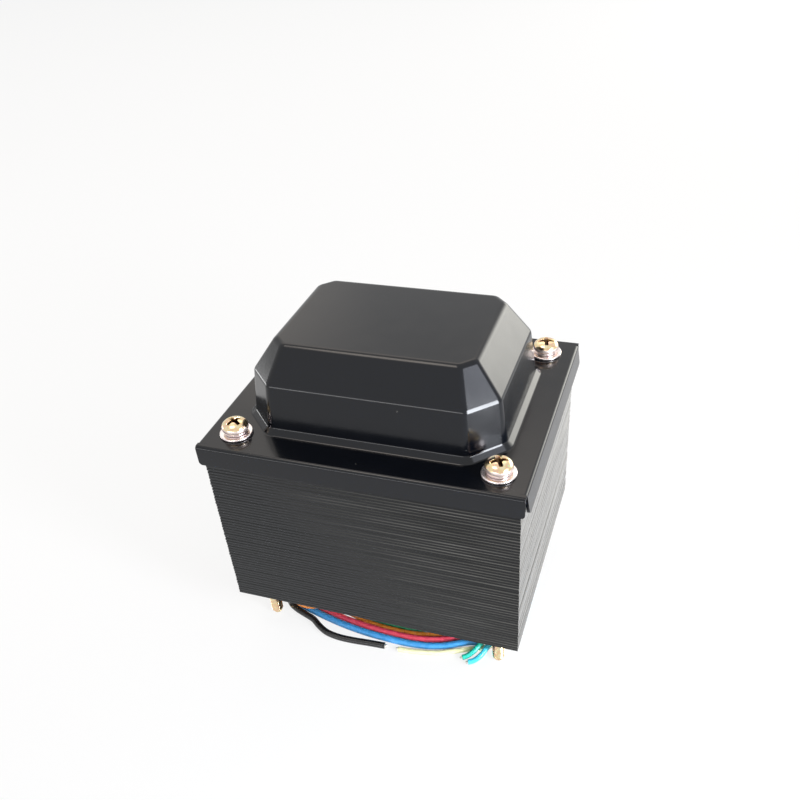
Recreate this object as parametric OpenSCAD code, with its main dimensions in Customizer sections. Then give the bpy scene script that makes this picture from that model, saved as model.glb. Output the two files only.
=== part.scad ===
// Drop-through power transformer with a pressed bell cover.
// Interleaved E and I laminations, a moulded coil former with its winding, a
// pressed steel cover over the coil, four through bolts and loose hook-up leads.
// Millimetres. +Z is up, the origin is at the centre of the footprint, on the
// surface that the coil's lower flanges stand on.

/* [Laminated core] */
// Width of the laminations along X
core_w = 96; // [86:1:116]
// Depth of the laminations along Y
core_d = 80; // [72:1:98]
// Thickness of the clamped stack of laminations
stack_h = 62; // [45:1:76]
// Number of packets that the stack is interleaved in
packets = 28; // [12:2:60]
// Varnish film between one packet and the next
film = 0.05; // [0.02:0.01:0.1]
// Width of the tongue that passes through the coil
tongue_w = 32; // [26:1:36]
// Width of the two outer legs
leg_w = 16; // [13:1:18]
// Width of the yokes at the front and the back
yoke_w = 16; // [13:1:18]
// Bolt centre to the core's outer edges
bolt_inset = 8; // [6.5:0.5:9]

/* [Coil] */
// How far the coil's flanges stand out of the core, above and below
coil_rise = 15.2; // [13:0.2:17]
// Wall of the moulded coil former
former_t = 1.2; // [0.8:0.1:1.5]
// Clearance between the former's tube and the tongues
former_gap = 0.3; // [0.2:0.05:0.5]
// Clearance between the former's flanges and the outer legs
leg_gap = 0.4; // [0.2:0.1:1]
// Clearance between the former's flanges and the yokes
yoke_gap = 0.1; // [0.05:0.05:0.3]
// Corner radius of the former's flanges
flange_corner_r = 1.5; // [0.5:0.5:3]
// Clearance of each lead in its slot in the rear flange
slot_gap = 0.2; // [0.1:0.05:0.4]
// How far the winding lies below the flange edges
winding_inset = 0.8; // [0.4:0.1:1.5]
// Clearance between the winding and the former
winding_gap = 0.1; // [0.05:0.05:0.2]
// Thickness of the outer tape wrap over the winding
wrap_t = 0.5; // [0.2:0.1:1]
// Corner radius of the winding
winding_r = 6; // [4:0.5:8]

/* [Bell cover] */
// Thickness of the pressed sheet
sheet_t = 0.9; // [0.7:0.1:1.2]
// Clearance between the front and back lips and the core
lip_gap = 0.15; // [0.1:0.05:0.5]
// Clearance between the side lips and the core, at their bend
side_lip_gap = 0.6; // [0.3:0.1:1]
// Outward splay of the side lips, in degrees
side_lip_splay = 8; // [0:1:12]
// Height of the lips, from the top of the flange
lip_h = 6.8; // [4:0.2:10]
// Length of the slit at each corner of the flange
corner_slit = 1.2; // [0.8:0.1:3]
// How far the front and back lips stop short of the side lips' outer faces
lip_end_gap = 0.2; // [0.1:0.1:0.8]
// Clearance between the coil and the dome's side walls
coil_room_x = 5.2; // [3:0.1:6]
// Clearance between the coil and the dome's front and back walls
coil_room_y = 2.8; // [2:0.1:4]
// Clearance between the coil's flange corners and the dome's corner walls
corner_room = 0.23; // [0.2:0.01:0.6]
// Height of the dome's upright wall above the top of the coil
wall_room = 0.9; // [0.5:0.1:3]
// Height of the slopes between the upright wall and the flat top
slope_h = 10.3; // [8:0.1:14]
// How far the side slopes lean in
slope_run_x = 7.4; // [5:0.1:9]
// How far the front and back slopes lean in
slope_run_y = 7; // [5:0.1:9]
// Corner cut of the flat top
top_cut = 3.9; // [2.5:0.1:6]
// Outer radius of the pressed edges of the dome
edge_r = 2.6; // [1.8:0.1:4]
// How far the upright wall leans out down to its foot
wall_draft = 1.9; // [0.3:0.1:2.2]
// Flare at the foot of the dome
foot_flare = 1.4; // [0.8:0.1:2]

/* [Bolts] */
// Thread diameter of the four through bolts
bolt_d = 4; // [3:0.5:4]
// Pitch of their thread
thread_pitch = 0.7; // [0.5:0.05:0.8]
// Diameter of the pan head
head_d = 8; // [6.5:0.1:8.5]
// Height of the pan head
head_h = 3; // [2.2:0.1:3.4]
// Diameter of the flat washers
washer_d = 10; // [9:0.1:10.6]
// Thickness of the flat washers
washer_t = 0.8; // [0.5:0.1:1]
// Outer diameter of the spring washers
spring_d = 7; // [6.4:0.1:7.6]
// Thickness of the spring washers
spring_t = 1; // [0.8:0.1:1.2]
// Width across the flats of the nuts
nut_af = 7; // [6:0.5:8]
// Height of the nuts
nut_h = 3.2; // [2.4:0.1:4]
// Height of the bolt tips above the standing surface
tip_z = 0.4; // [0.2:0.1:3]
// Radial clearance of the washers on the bolts
bolt_gap = 0.15; // [0.1:0.05:0.3]
// Radial clearance of the holes in the core and the cover on the bolts
hole_gap = 0.4; // [0.2:0.05:0.8]

/* [Hidden] */
$fn = 48;

corners = [["front_left", -1, -1], ["front_right", 1, -1], ["rear_left", -1, 1], ["rear_right", 1, 1]];
bolt_x = core_w / 2 - bolt_inset;
bolt_y = core_d / 2 - bolt_inset;
hole_d = bolt_d + 2 * hole_gap;

stack_z = coil_rise;
stack_top = stack_z + stack_h;
flange_top = stack_top + sheet_t;
pitch = stack_h / packets;
packet_t = pitch - film;

window_x = (core_w - 2 * leg_w) / 2;
window_l = core_d - 2 * yoke_w;
e_length = core_d - yoke_w;

tube_x = tongue_w / 2 + former_gap;
coil_half_x = window_x - leg_gap;
coil_half_y = window_l / 2 - yoke_gap;
coil_h = stack_h + 2 * coil_rise;
core_mid = stack_z + stack_h / 2;
winding_half_y = coil_half_y - former_t - winding_gap;

// The dome stands round the coil with the clearances above.
wall_x = coil_half_x + coil_room_x + sheet_t;
wall_y = coil_half_y + coil_room_y + sheet_t;
wall_cut = coil_room_x + coil_room_y + 2 * sheet_t - sqrt(2) * (sheet_t + corner_room);
wall_h = coil_rise - sheet_t + wall_room;
top_x = wall_x - slope_run_x;
top_y = wall_y - slope_run_y;
dome_h = wall_h + slope_h;

// How far a cut runs on past the face that it opens.
through = 1;

// The lips are bent tightly, so that the square edge of the core clears the inside of the bend.
bend_in = 1.3 * lip_gap;
bend_out = bend_in + sheet_t;

head_z = flange_top + washer_t + spring_t;
nut_z = stack_z - washer_t - nut_h;
// The shank and the thread inside the nut are drawn at the pitch diameter, the free end at the full one.
pitch_d = bolt_d - 0.65 * thread_pitch;
thread_gap = 0.04;
end_gap = 0.1;
tip_chamfer = 0.6;
nut_sink = 0.4;
crown_h = 0.45 * head_h;
recess_l = 0.55 * head_d;
recess_w = 0.11 * head_d;
recess_depth = 0.5 * head_h;
split_w = 0.6;
split_turn = 25;

// Each lead: colour, diameter and the points along its middle, from the winding to its bare end.
leads = [
    ["black", "#17171a", 2.2, [
        [-9, 22.6, 9.5], [-9, 27.8, 9.5], [-9.7, 31, 9.4], [-11.7, 33.5, 8.9], [-14.7, 34.8, 7.9],
        [-18, 34.9, 6.2], [-21, 34.2, 4.2], [-24, 33, 2.4], [-27, 31.9, 1.3], [-31.2, 31.2, 1.15],
        [-35.2, 29.4, 1.15], [-38, 26.1, 1.15], [-39, 21.9, 1.15], [-39, 0, 1.15], [-39, -21.9, 1.15],
        [-38.2, -25.6, 1.15], [-36.1, -28.7, 1.15], [-32.8, -30.7, 1.15], [-29.2, -32.1, 1.15],
        [-25.6, -33.5, 1.15], [-22.2, -35.9, 1.15], [-18.8, -37.7, 1.15], [-14.5, -38.6, 1.15],
        [-9, -38.7, 1.15], [-3, -38.3, 1.15], [3.4, -38, 1.15]]],
    ["blue", "#2f7fd8", 2.4, [
        [2, 22.6, 9], [2, 27.5, 9], [1.2, 30.7, 8.9], [-1, 32.9, 8.4], [-4, 33.7, 7.5],
        [-7.5, 33.3, 6.1], [-11, 32.3, 4.5], [-14.5, 31.1, 2.9], [-18, 30, 1.8], [-23, 29.1, 1.3],
        [-29.6, 28.8, 1.25], [-33, 27.9, 1.25], [-35.6, 25.3, 1.25], [-36.5, 21.9, 1.25],
        [-36.5, 0, 1.25], [-36.5, -21.9, 1.25], [-35.9, -24.8, 1.25], [-34, -27.2, 1.25],
        [-31.4, -28.6, 1.25], [-22, -31.3, 1.25], [-14, -33.1, 1.25], [-5, -34.4, 1.25],
        [3, -34.9, 1.25], [10, -35, 1.25], [17, -34.2, 1.25], [22.6, -32.5, 1.25], [26.2, -30.6, 1.25],
        [29.4, -29.1, 1.25], [32.2, -28.3, 1.25], [34.4, -26.8, 1.25], [35.9, -24.5, 1.25],
        [36.4, -21.9, 1.25], [36, -14, 1.25], [35.1, -7, 1.25], [34.2, 0, 1.25], [33.9, 7, 1.25]]],
    ["red", "#e0263c", 2.2, [
        [12, 22.6, 7.5], [12, 26.8, 7.5], [11.3, 29.5, 7.4], [9.4, 31.4, 7.1], [6.8, 32, 6.6],
        [3.5, 31.5, 5.6], [0, 30.4, 4.3], [-3.5, 29.2, 3], [-7, 28.1, 1.9], [-11, 27.2, 1.3],
        [-17, 26.6, 1.15], [-23, 26.4, 1.15], [-29.6, 26.4, 1.15], [-31.8, 25.8, 1.15],
        [-33.5, 24.1, 1.15], [-34.1, 21.9, 1.15], [-34, 0, 1.15], [-34.1, -21.9, 1.15],
        [-33.6, -23.8, 1.15], [-32.5, -25.3, 1.15], [-30.8, -26.2, 1.15], [-22, -28.7, 1.15],
        [-14, -30.5, 1.15], [-5, -31.8, 1.15], [3, -32.4, 1.15], [10, -32.4, 1.15], [17, -31.4, 1.15],
        [22.2, -29.6, 1.15], [25.8, -27.6, 1.15], [29, -26, 1.15]]],
    ["orange", "#d9742a", 1.6, [
        [-21, 22.6, 11], [-21, 26.8, 11], [-21.8, 29.4, 10.8], [-23.8, 31, 9.8], [-26.3, 31.5, 7.9],
        [-28.6, 31.1, 5.8], [-30.9, 30.3, 4.1], [-33.7, 29, 3.05], [-36.7, 26, 3.05],
        [-37.8, 21.9, 3.05], [-37.7, 0, 3.05], [-37.8, -21.9, 3.05], [-37.1, -25.1, 3.05],
        [-35.2, -27.8, 3.05], [-32.4, -29.6, 3.05], [-29, -30.2, 3.2], [-25.5, -29.8, 3.7],
        [-21.4, -28.9, 3.8], [-17.4, -28.2, 2.9], [-13, -28.3, 1.5], [-8.5, -29.2, 0.9],
        [-3, -29.9, 0.85], [3, -30.3, 0.85], [10, -30.2, 0.85], [17, -28.9, 0.85], [22.4, -26.7, 0.85]]],
    ["green", "#1f6b45", 1.6, [
        [-14, 22.6, 11], [-14, 26.6, 11], [-14.8, 29.2, 10.8], [-17, 30.8, 10.1], [-19.8, 30.8, 8.8],
        [-22.6, 29.8, 6.9], [-25.3, 28.6, 4.9], [-27.9, 27.9, 3.5], [-30.6, 27.4, 3.05],
        [-32.9, 26.4, 3.05], [-34.6, 24.4, 3.05], [-35.2, 21.9, 3.05], [-35.2, 0, 3.05],
        [-35.2, -21.9, 3.05], [-34.7, -24.3, 3.05], [-33.2, -26.2, 3.05], [-31, -27.3, 3.05],
        [-27, -26.9, 3.5], [-23.6, -26.2, 3.2], [-19.4, -25.8, 1.9], [-14, -26.4, 0.95],
        [-5, -27.8, 0.85], [3, -28.5, 0.85], [10, -28.3, 0.85], [15, -27.2, 0.85], [20, -25.7, 0.85]]],
    ["cream", "#e6dfa8", 1.8, [
        [16, 22.6, 7], [16, 26.8, 7], [16.8, 29.2, 6.8], [18.9, 30.8, 6.1], [21.4, 30.7, 4.8],
        [23.8, 29.4, 3.2], [26.1, 27.7, 1.8], [28.4, 26.3, 1.1], [31.2, 25.5, 0.95], [32.9, 24, 0.95],
        [33.5, 21.9, 0.95], [34.3, 17, 0.95], [36, 11, 0.95], [37.8, 5, 0.95], [38.9, -2, 0.95],
        [39.3, -9, 0.95], [39.3, -16, 0.95], [39.1, -21.9, 0.95], [38.5, -25.1, 0.95],
        [36.9, -28, 0.95], [34.4, -30.1, 0.95], [31.2, -31.3, 0.95], [25.8, -33.7, 0.95],
        [20.6, -36, 0.95], [15, -37.2, 0.95], [10.4, -37.8, 0.95], [6.4, -38, 0.95]]],
    ["teal", "#1fa08c", 1.8, [
        [20.6, 22.6, 9.5], [20.6, 27.4, 9.5], [21.5, 30.3, 9.2], [23.6, 32, 8.3], [26.2, 32, 6.7],
        [28.6, 31, 4.9], [31, 29.3, 3.1], [33.2, 27, 1.7], [34.8, 24.5, 1], [35.8, 21, 0.95],
        [36.9, 16, 0.95], [39, 10, 0.95], [41, 4, 0.95], [42.1, -2, 1], [41.8, -8, 1.6],
        [40.5, -14, 2.6], [38.9, -19, 3.1], [37.6, -23.3, 3.2], [36.6, -26, 3.2], [34.8, -28.1, 3.2],
        [33.2, -31, 2.9], [31.9, -33.2, 2.1], [30.1, -34.9, 1.2], [28, -36.2, 0.95]]],
    ["cyan", "#35b9d6", 1.8, [
        [25, 22.6, 12], [25, 27.4, 12], [25.9, 30.4, 11.8], [28, 32.3, 11], [30.6, 32.5, 9.5],
        [33.2, 31.2, 7.6], [35.4, 28.6, 5.4], [37.1, 25.4, 3.3], [38.3, 22, 1.7], [39.3, 17.5, 1],
        [41, 12, 0.95], [43.1, 5, 0.95], [44.4, -2, 1], [44.2, -8, 1.5], [43, -13.5, 2.4],
        [41.4, -18.5, 3], [39.6, -23.7, 3.2], [38.6, -26.6, 3.2], [36.8, -29.1, 3.2],
        [35.6, -31.9, 2.7], [34.4, -34.4, 1.9], [32.6, -36.2, 1.1], [30.3, -37.5, 0.95]]]
];
lead_sides = 8;

// ---------------------------------------------------------------- core

// Outline of an E, with its back along the front edge of the core.
module e_outline() {
    difference() {
        translate([-core_w / 2, -core_d / 2]) square([core_w, e_length]);
        for (side = [-1, 1])
            translate([side * (tongue_w / 2 + window_x) / 2, 0])
                square([window_x - tongue_w / 2, window_l], center = true);
        for (side = [-1, 1]) translate([side * bolt_x, -bolt_y]) circle(d = hole_d);
    }
}

// Outline of the I that closes the E, along the rear edge of the core.
module i_outline() {
    difference() {
        translate([-core_w / 2, core_d / 2 - yoke_w + film]) square([core_w, yoke_w - film]);
        for (side = [-1, 1]) translate([side * bolt_x, bolt_y]) circle(d = hole_d);
    }
}

// Every second packet of the stack, starting at packet number first.
module packet_stack(first) {
    for (i = [first : 2 : packets - 1])
        translate([0, 0, stack_z + i * pitch + film / 2]) linear_extrude(packet_t) children();
}

module e_laminations_front() { color("#26282a") packet_stack(0) e_outline(); }
module i_laminations_rear() { color("#26282a") packet_stack(0) i_outline(); }
module e_laminations_rear() { color("#2b2d2f") packet_stack(1) mirror([0, 1]) e_outline(); }
module i_laminations_front() { color("#2b2d2f") packet_stack(1) mirror([0, 1]) i_outline(); }

// ---------------------------------------------------------------- coil

// Rectangle of two half sizes with round corners.
module round_rect(half_x, half_y, r) {
    square([2 * half_x, 2 * (half_y - r)], center = true);
    square([2 * (half_x - r), 2 * half_y], center = true);
    for (x = [-1, 1], y = [-1, 1]) translate([x * (half_x - r), y * (half_y - r)]) circle(r);
}

// Slab along Y, centred on the coil, from a drawing in X and Z.
module along_tongue(length, y = 0) {
    translate([0, y + length / 2, core_mid]) rotate([90, 0, 0]) linear_extrude(length) children();
}

module tube_bore() {
    square([2 * tube_x, stack_h + 2 * former_gap], center = true);
}

// Open slots through which the leads come out of the rear flange, drawn as along_tongue() takes them.
module lead_slots() {
    for (l = leads) let (start = l[3][0], r = l[2] / 2 + slot_gap)
        translate([start.x, start.z - core_mid]) {
            circle(r);
            translate([-r, -start.z - through]) square([2 * r, start.z + through]);
        }
}

module coil_former() {
    color("#1d1d1f") {
        along_tongue(2 * coil_half_y) difference() {
            square([2 * (tube_x + former_t), stack_h + 2 * (former_gap + former_t)], center = true);
            tube_bore();
        }
        for (side = [-1, 1])
            along_tongue(former_t, side * (coil_half_y - former_t / 2)) difference() {
                round_rect(coil_half_x, coil_h / 2, flange_corner_r);
                square([2 * tube_x + former_t, stack_h + 2 * former_gap + former_t], center = true);
                if (side == 1) lead_slots();
            }
    }
}

module winding() {
    layer = winding_inset + wrap_t;
    wall = former_t + winding_gap;
    color("#8a4a1c") along_tongue(2 * winding_half_y) difference() {
        round_rect(coil_half_x - layer, coil_h / 2 - layer, winding_r);
        square([2 * (tube_x + wall), stack_h + 2 * (former_gap + wall)], center = true);
    }
}

module winding_wrap() {
    inset = winding_inset;
    color("#b5862c") along_tongue(2 * winding_half_y) difference() {
        round_rect(coil_half_x - inset, coil_h / 2 - inset, winding_r + wrap_t);
        round_rect(coil_half_x - inset - wrap_t, coil_h / 2 - inset - wrap_t, winding_r);
    }
}

// ---------------------------------------------------------------- cover

// The eight corners of a rectangle with its corners cut off.
function octagon(x, y, cut) = [
    [x, y - cut], [x - cut, y], [cut - x, y], [-x, y - cut],
    [-x, cut - y], [cut - x, -y], [x - cut, -y], [x, cut - y]];

// Corner cut of the octagon that runs edge_r inside one with this cut.
function inner_cut(cut) = cut - (2 - sqrt(2)) * edge_r;

slope = atan2(wall_x - top_x, dome_h - wall_h);
wall_centres = octagon(wall_x - edge_r, wall_y - edge_r, inner_cut(wall_cut));
wall_centre_z = wall_h - edge_r * tan(slope / 2);
top_inset = edge_r * tan(45 - slope / 2);
top_centres = octagon(top_x - top_inset, top_y - top_inset, max(0.5, top_cut - (2 - sqrt(2)) * top_inset));
top_centre_z = dome_h - edge_r;

// Body of the dome, with every pressed edge rounded to radius r and its walls leaning out.
module dome_body(r) {
    hull() {
        for (p = wall_centres) {
            translate([p.x, p.y, -sheet_t]) cylinder(r = r + wall_draft, h = sheet_t, $fn = 24);
            translate([p.x, p.y, wall_centre_z]) sphere(r, $fn = 24);
        }
        for (p = top_centres) translate([p.x, p.y, top_centre_z]) sphere(r, $fn = 24);
    }
}

// Sloped foot of the dome, from radius foot at height z up to radius r, which lies inside the wall.
module dome_foot(foot, r, z) {
    hull() for (p = wall_centres)
        translate([p.x, p.y, z]) cylinder(r1 = foot, r2 = r, h = foot - r, $fn = 24);
}

// Section of a channel with down-turned lips: its web spans 2 * half.
module channel(half, splay) {
    r = bend_out;
    translate([r - half, -sheet_t]) square([2 * (half - r), sheet_t]);
    for (side = [0, 1]) mirror([side, 0]) translate([half - r, -r]) {
        intersection() {
            difference() {
                circle(r);
                circle(bend_in);
            }
            rotate(splay) square(2 * r);
            square(2 * r);
        }
        rotate(splay) translate([bend_in, r - lip_h]) square([sheet_t, lip_h - r]);
    }
}

flange_half_x = core_w / 2 + side_lip_gap + sheet_t;
flange_half_y = core_d / 2 + lip_gap + sheet_t;

module flange() {
    side_length = 2 * (flange_half_y - sheet_t - corner_slit);
    translate([0, side_length / 2, 0]) rotate([90, 0, 0])
        linear_extrude(side_length) channel(flange_half_x, side_lip_splay);
    front_length = 2 * (flange_half_x - lip_end_gap);
    rotate([90, 0, 90]) translate([0, 0, -front_length / 2])
        linear_extrude(front_length) channel(flange_half_y, 0);
}

module bell_cover() {
    bend = (sqrt(2) - 1) * sheet_t;
    foot_r = edge_r + wall_draft + foot_flare;
    color("#141416") translate([0, 0, flange_top]) difference() {
        union() {
            flange();
            dome_body(edge_r);
            dome_foot(foot_r, edge_r, -0.01);
        }
        dome_body(edge_r - sheet_t);
        translate([0, 0, -sheet_t - through]) dome_foot(foot_r - bend + through, edge_r - sheet_t, 0);
        for (c = corners) translate([c[1] * bolt_x, c[2] * bolt_y, -2 * sheet_t])
            cylinder(d = hole_d, h = 3 * sheet_t);
    }
}

// ---------------------------------------------------------------- bolts

module ring(outer_d, inner_d, height) {
    difference() {
        cylinder(d = outer_d, h = height);
        translate([0, 0, -through]) cylinder(d = inner_d, h = height + 2 * through);
    }
}

// Pan head with a cross recess, standing on z = 0.
module pan_head() {
    crown_r = (pow(head_d / 2, 2) + pow(crown_h, 2)) / (2 * crown_h);
    difference() {
        rotate_extrude() intersection() {
            union() {
                square([head_d / 2, head_h - crown_h]);
                translate([0, head_h - crown_r]) circle(crown_r, $fn = 96);
            }
            square([head_d / 2, head_h]);
        }
        for (turn = [0, 90]) rotate(turn)
            translate([-recess_l / 2, -recess_w / 2, head_h - recess_depth])
                cube([recess_l, recess_w, head_h]);
    }
}

module bolt() {
    thread_top = nut_z - end_gap;
    translate([0, 0, head_z]) pan_head();
    translate([0, 0, thread_top]) cylinder(d = pitch_d, h = head_z - thread_top);
    translate([0, 0, tip_z + tip_chamfer]) cylinder(d = bolt_d, h = thread_top - tip_z - tip_chamfer);
    translate([0, 0, tip_z]) cylinder(d1 = bolt_d - 2 * tip_chamfer, d2 = bolt_d, h = tip_chamfer);
}

module spring_washer() {
    translate([0, 0, flange_top + washer_t]) difference() {
        ring(spring_d, bolt_d + 2 * bolt_gap, spring_t);
        rotate(split_turn) translate([0, -split_w / 2, -through])
            cube([spring_d, split_w, spring_t + 2 * through]);
    }
}

module flat_washer() {
    translate([0, 0, flange_top]) ring(washer_d, bolt_d + 2 * bolt_gap, washer_t);
}

module lower_washer() {
    translate([0, 0, stack_z - washer_t]) ring(washer_d, bolt_d + 2 * bolt_gap, washer_t);
}

// Hexagon nut with both mouths of its bore countersunk.
module nut() {
    bore = pitch_d + thread_gap;
    mouth = bolt_d + nut_sink;
    translate([0, 0, nut_z]) difference() {
        cylinder(d = nut_af / cos(30), h = nut_h, $fn = 6);
        translate([0, 0, -through]) cylinder(d = bore, h = nut_h + 2 * through);
        cylinder(d1 = mouth, d2 = bore, h = nut_sink);
        translate([0, 0, nut_h - nut_sink]) cylinder(d1 = bore, d2 = mouth, h = nut_sink);
    }
}

// ---------------------------------------------------------------- leads

function unit(v) = v / norm(v);

// Direction of a route at point i, halfway between the legs before and after it.
function heading(route, i) = let (last = len(route) - 1)
    unit(unit(route[min(i + 1, last)] - route[min(i, last - 1)])
        + unit(route[max(i, 1)] - route[max(i - 1, 0)]));

// Sideways vector at point i, carried along the route from its start without twist.
function sideways(route, i) = let (
    along = heading(route, i),
    before = i == 0 ? [0, 0, 1] : sideways(route, i - 1))
    unit(before - (before * along) * along);

// Ring of corners round point i of a route.
function lead_ring(route, d, i) = let (
    u = sideways(route, i),
    v = cross(heading(route, i), u))
    [for (k = [0 : lead_sides - 1]) let (turn = 360 * k / lead_sides)
        route[i] + d / 2 * (cos(turn) * u + sin(turn) * v)];

// Round tube swept along a route, with flat ends.
module lead(route, d) {
    last = len(route) - 1;
    start = [for (k = [0 : lead_sides - 1]) k];
    end = [for (k = [lead_sides - 1 : -1 : 0]) last * lead_sides + k];
    skin = [for (i = [0 : last - 1], k = start) let (
        a = i * lead_sides + k,
        b = i * lead_sides + (k + 1) % lead_sides)
        [a, a + lead_sides, b + lead_sides, b]];
    polyhedron([for (i = [0 : last]) each lead_ring(route, d, i)], concat([start, end], skin));
}

e_laminations_front();
i_laminations_rear();
e_laminations_rear();
i_laminations_front();
coil_former();
winding();
winding_wrap();
bell_cover();
for (c = corners) {
    spot = [c[1] * bolt_x, c[2] * bolt_y, 0];
    color("#c9a24a") translate(spot) bolt();
    color("#c8c8ca") translate(spot) spring_washer();
    color("#d8cfd0") translate(spot) flat_washer();
    color("#d8cfd0") translate(spot) lower_washer();
    color("#c9a24a") translate(spot) nut();
}
for (l = leads) color(l[1]) lead(l[3], l[2]);
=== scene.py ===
"""Looks of a drop-through power transformer with a bell cover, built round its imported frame.

Shapes are worked out in millimetres, with +Z up and the transformer standing on z = 0. MM turns
them into metres. Sizes that the frame holds are read from it, and the rest are named here.
"""

import math

import bmesh
import bpy
import numpy as np
from mathutils import Matrix, Vector
from mathutils.geometry import delaunay_2d_cdt, tessellate_polygon


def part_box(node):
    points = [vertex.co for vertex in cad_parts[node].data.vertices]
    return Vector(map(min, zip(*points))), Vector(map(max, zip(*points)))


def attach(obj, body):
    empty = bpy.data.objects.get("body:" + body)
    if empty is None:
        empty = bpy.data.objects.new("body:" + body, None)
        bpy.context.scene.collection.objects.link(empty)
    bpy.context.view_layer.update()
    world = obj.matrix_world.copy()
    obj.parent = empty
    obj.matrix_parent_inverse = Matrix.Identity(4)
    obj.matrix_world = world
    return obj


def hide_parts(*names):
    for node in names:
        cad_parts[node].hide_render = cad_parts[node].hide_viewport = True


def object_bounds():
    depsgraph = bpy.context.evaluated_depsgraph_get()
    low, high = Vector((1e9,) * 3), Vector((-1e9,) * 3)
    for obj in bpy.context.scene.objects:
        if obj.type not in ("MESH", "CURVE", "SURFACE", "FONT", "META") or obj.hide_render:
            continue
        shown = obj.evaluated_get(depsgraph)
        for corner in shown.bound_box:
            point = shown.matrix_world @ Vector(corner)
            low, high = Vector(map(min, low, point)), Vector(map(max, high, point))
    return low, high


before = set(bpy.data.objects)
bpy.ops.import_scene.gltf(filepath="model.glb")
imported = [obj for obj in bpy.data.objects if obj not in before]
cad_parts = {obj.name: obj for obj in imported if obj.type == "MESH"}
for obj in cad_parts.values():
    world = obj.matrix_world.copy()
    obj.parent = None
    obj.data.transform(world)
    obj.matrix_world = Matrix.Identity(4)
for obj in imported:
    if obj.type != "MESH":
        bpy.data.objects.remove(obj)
cad_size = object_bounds()

MM = 0.001
# Points of a new piece that are closer than this are one point.
MERGE = 0.002
CORNERS = ("front_left", "front_right", "rear_left", "rear_right")


def box_mm(node):
    """Lowest and highest corner of a CAD node, in millimetres."""
    low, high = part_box(node)
    return np.array(low) / MM, np.array(high) / MM


# ---------------------------------------------------------------- camera

# The camera turns about this point of the transformer's own axis.
TARGET_Z = 58.1
AZIMUTH = math.radians(21.5)
ELEVATION = math.radians(38.84)
ROLL = math.radians(-4.83)
DISTANCE = 280.5
SIDE_STEP = 1.3
UP_STEP = -9.5
SENSOR_W = 36
LENS = 38.66
SHIFT_X = -0.008
SHIFT_Y = 0.0894


def add_camera():
    """Camera that looks from AZIMUTH, towards +X from the front, and ELEVATION, then turned by ROLL."""
    back = Vector((math.sin(AZIMUTH) * math.cos(ELEVATION), -math.cos(AZIMUTH) * math.cos(ELEVATION),
                   math.sin(ELEVATION)))
    level = Vector((0, 0, 1)).cross(back).normalized()
    upright = back.cross(level)
    right = math.cos(ROLL) * level + math.sin(ROLL) * upright
    up = math.cos(ROLL) * upright - math.sin(ROLL) * level
    place = Vector((0, 0, TARGET_Z)) + back * DISTANCE + right * SIDE_STEP + up * UP_STEP
    data = bpy.data.cameras.new("camera")
    data.sensor_width = SENSOR_W
    data.lens = LENS
    data.shift_x = SHIFT_X
    data.shift_y = SHIFT_Y
    data.clip_start = 0.01
    camera = bpy.data.objects.new("camera", data)
    axes = Matrix((right, up, back)).transposed().to_4x4()
    camera.matrix_world = Matrix.Translation(place * MM) @ axes
    bpy.context.scene.collection.objects.link(camera)
    bpy.context.scene.camera = camera


# ---------------------------------------------------------------- surfaces

def grid_faces(rows, cols, closed_rows=False, closed_cols=False):
    """Quads of a grid of points, row after row. A closed direction wraps round to its start.

    The outward side is the one where columns run to the right while rows run up.
    """
    i = np.arange(rows if closed_rows else rows - 1)[:, None]
    j = np.arange(cols if closed_cols else cols - 1)[None, :]
    next_i = (i + 1) % rows
    next_j = (j + 1) % cols
    quads = [i * cols + j, i * cols + next_j, next_i * cols + next_j, next_i * cols + j]
    return np.stack(quads, -1).reshape(-1, 4)


def joined(parts):
    """One list of points and one of faces from several, each a pair of points and faces."""
    starts = np.cumsum([0] + [len(points) for points, _ in parts])
    points = np.concatenate([points for points, _ in parts])
    faces = [face for start, (_, quads) in zip(starts, parts) for face in (quads + start).tolist()]
    return points, faces


def filleted(corners, radii, step=9.0):
    """Line through the corners, where each one with a radius becomes an arc that touches both its legs.

    The arc starts radius * tan(turn / 2) before the corner, and has a point about every step degrees.
    """
    corners = np.asarray(corners, float)
    before = np.roll(corners, 1, axis=0)
    after = np.roll(corners, -1, axis=0)
    pieces = []
    for corner, last, following, radius in zip(corners, before, after, radii):
        if not radius:
            pieces.append(corner[None])
            continue
        arrive = (corner - last) / np.linalg.norm(corner - last)
        leave = (following - corner) / np.linalg.norm(following - corner)
        turn = math.acos(np.clip(arrive @ leave, -1, 1))
        start = corner - arrive * radius * math.tan(turn / 2)
        inward = leave - arrive * (arrive @ leave)
        inward /= np.linalg.norm(inward)
        angle = np.linspace(0, turn, max(3, round(math.degrees(turn) / step) + 1))[:, None]
        pieces.append(start + radius * (arrive * np.sin(angle) + inward * (1 - np.cos(angle))))
    return np.concatenate(pieces)


def evenly_capped(outlines):
    """Even triangles that fill an outline round holes that bulge everywhere, facing up.

    Each is a Delaunay triangle between the loops, and those between three points of one hole are left out.
    """
    counts = [len(loop) for loop in outlines]
    starts = np.cumsum([0] + counts[:-1])
    steps = [np.arange(count) for count in counts]
    edges = [np.stack([start + step, start + np.roll(step, -1)], 1) for start, step in zip(starts, steps)]
    points = [Vector(point) for point in np.concatenate(outlines)]
    inside_only = 1
    tolerance = 1e-6
    filling = delaunay_2d_cdt(points, np.concatenate(edges).tolist(), [], inside_only, tolerance)
    faces, origins = filling[2:4]
    triangles = np.array([ids[0] for ids in origins])[np.array(faces)]
    owner = np.repeat(np.arange(len(counts)), counts)[triangles]
    in_hole = (owner[:, 0] > 0) & np.all(owner == owner[:, :1], axis=1)
    return triangles[~in_hole]


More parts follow.
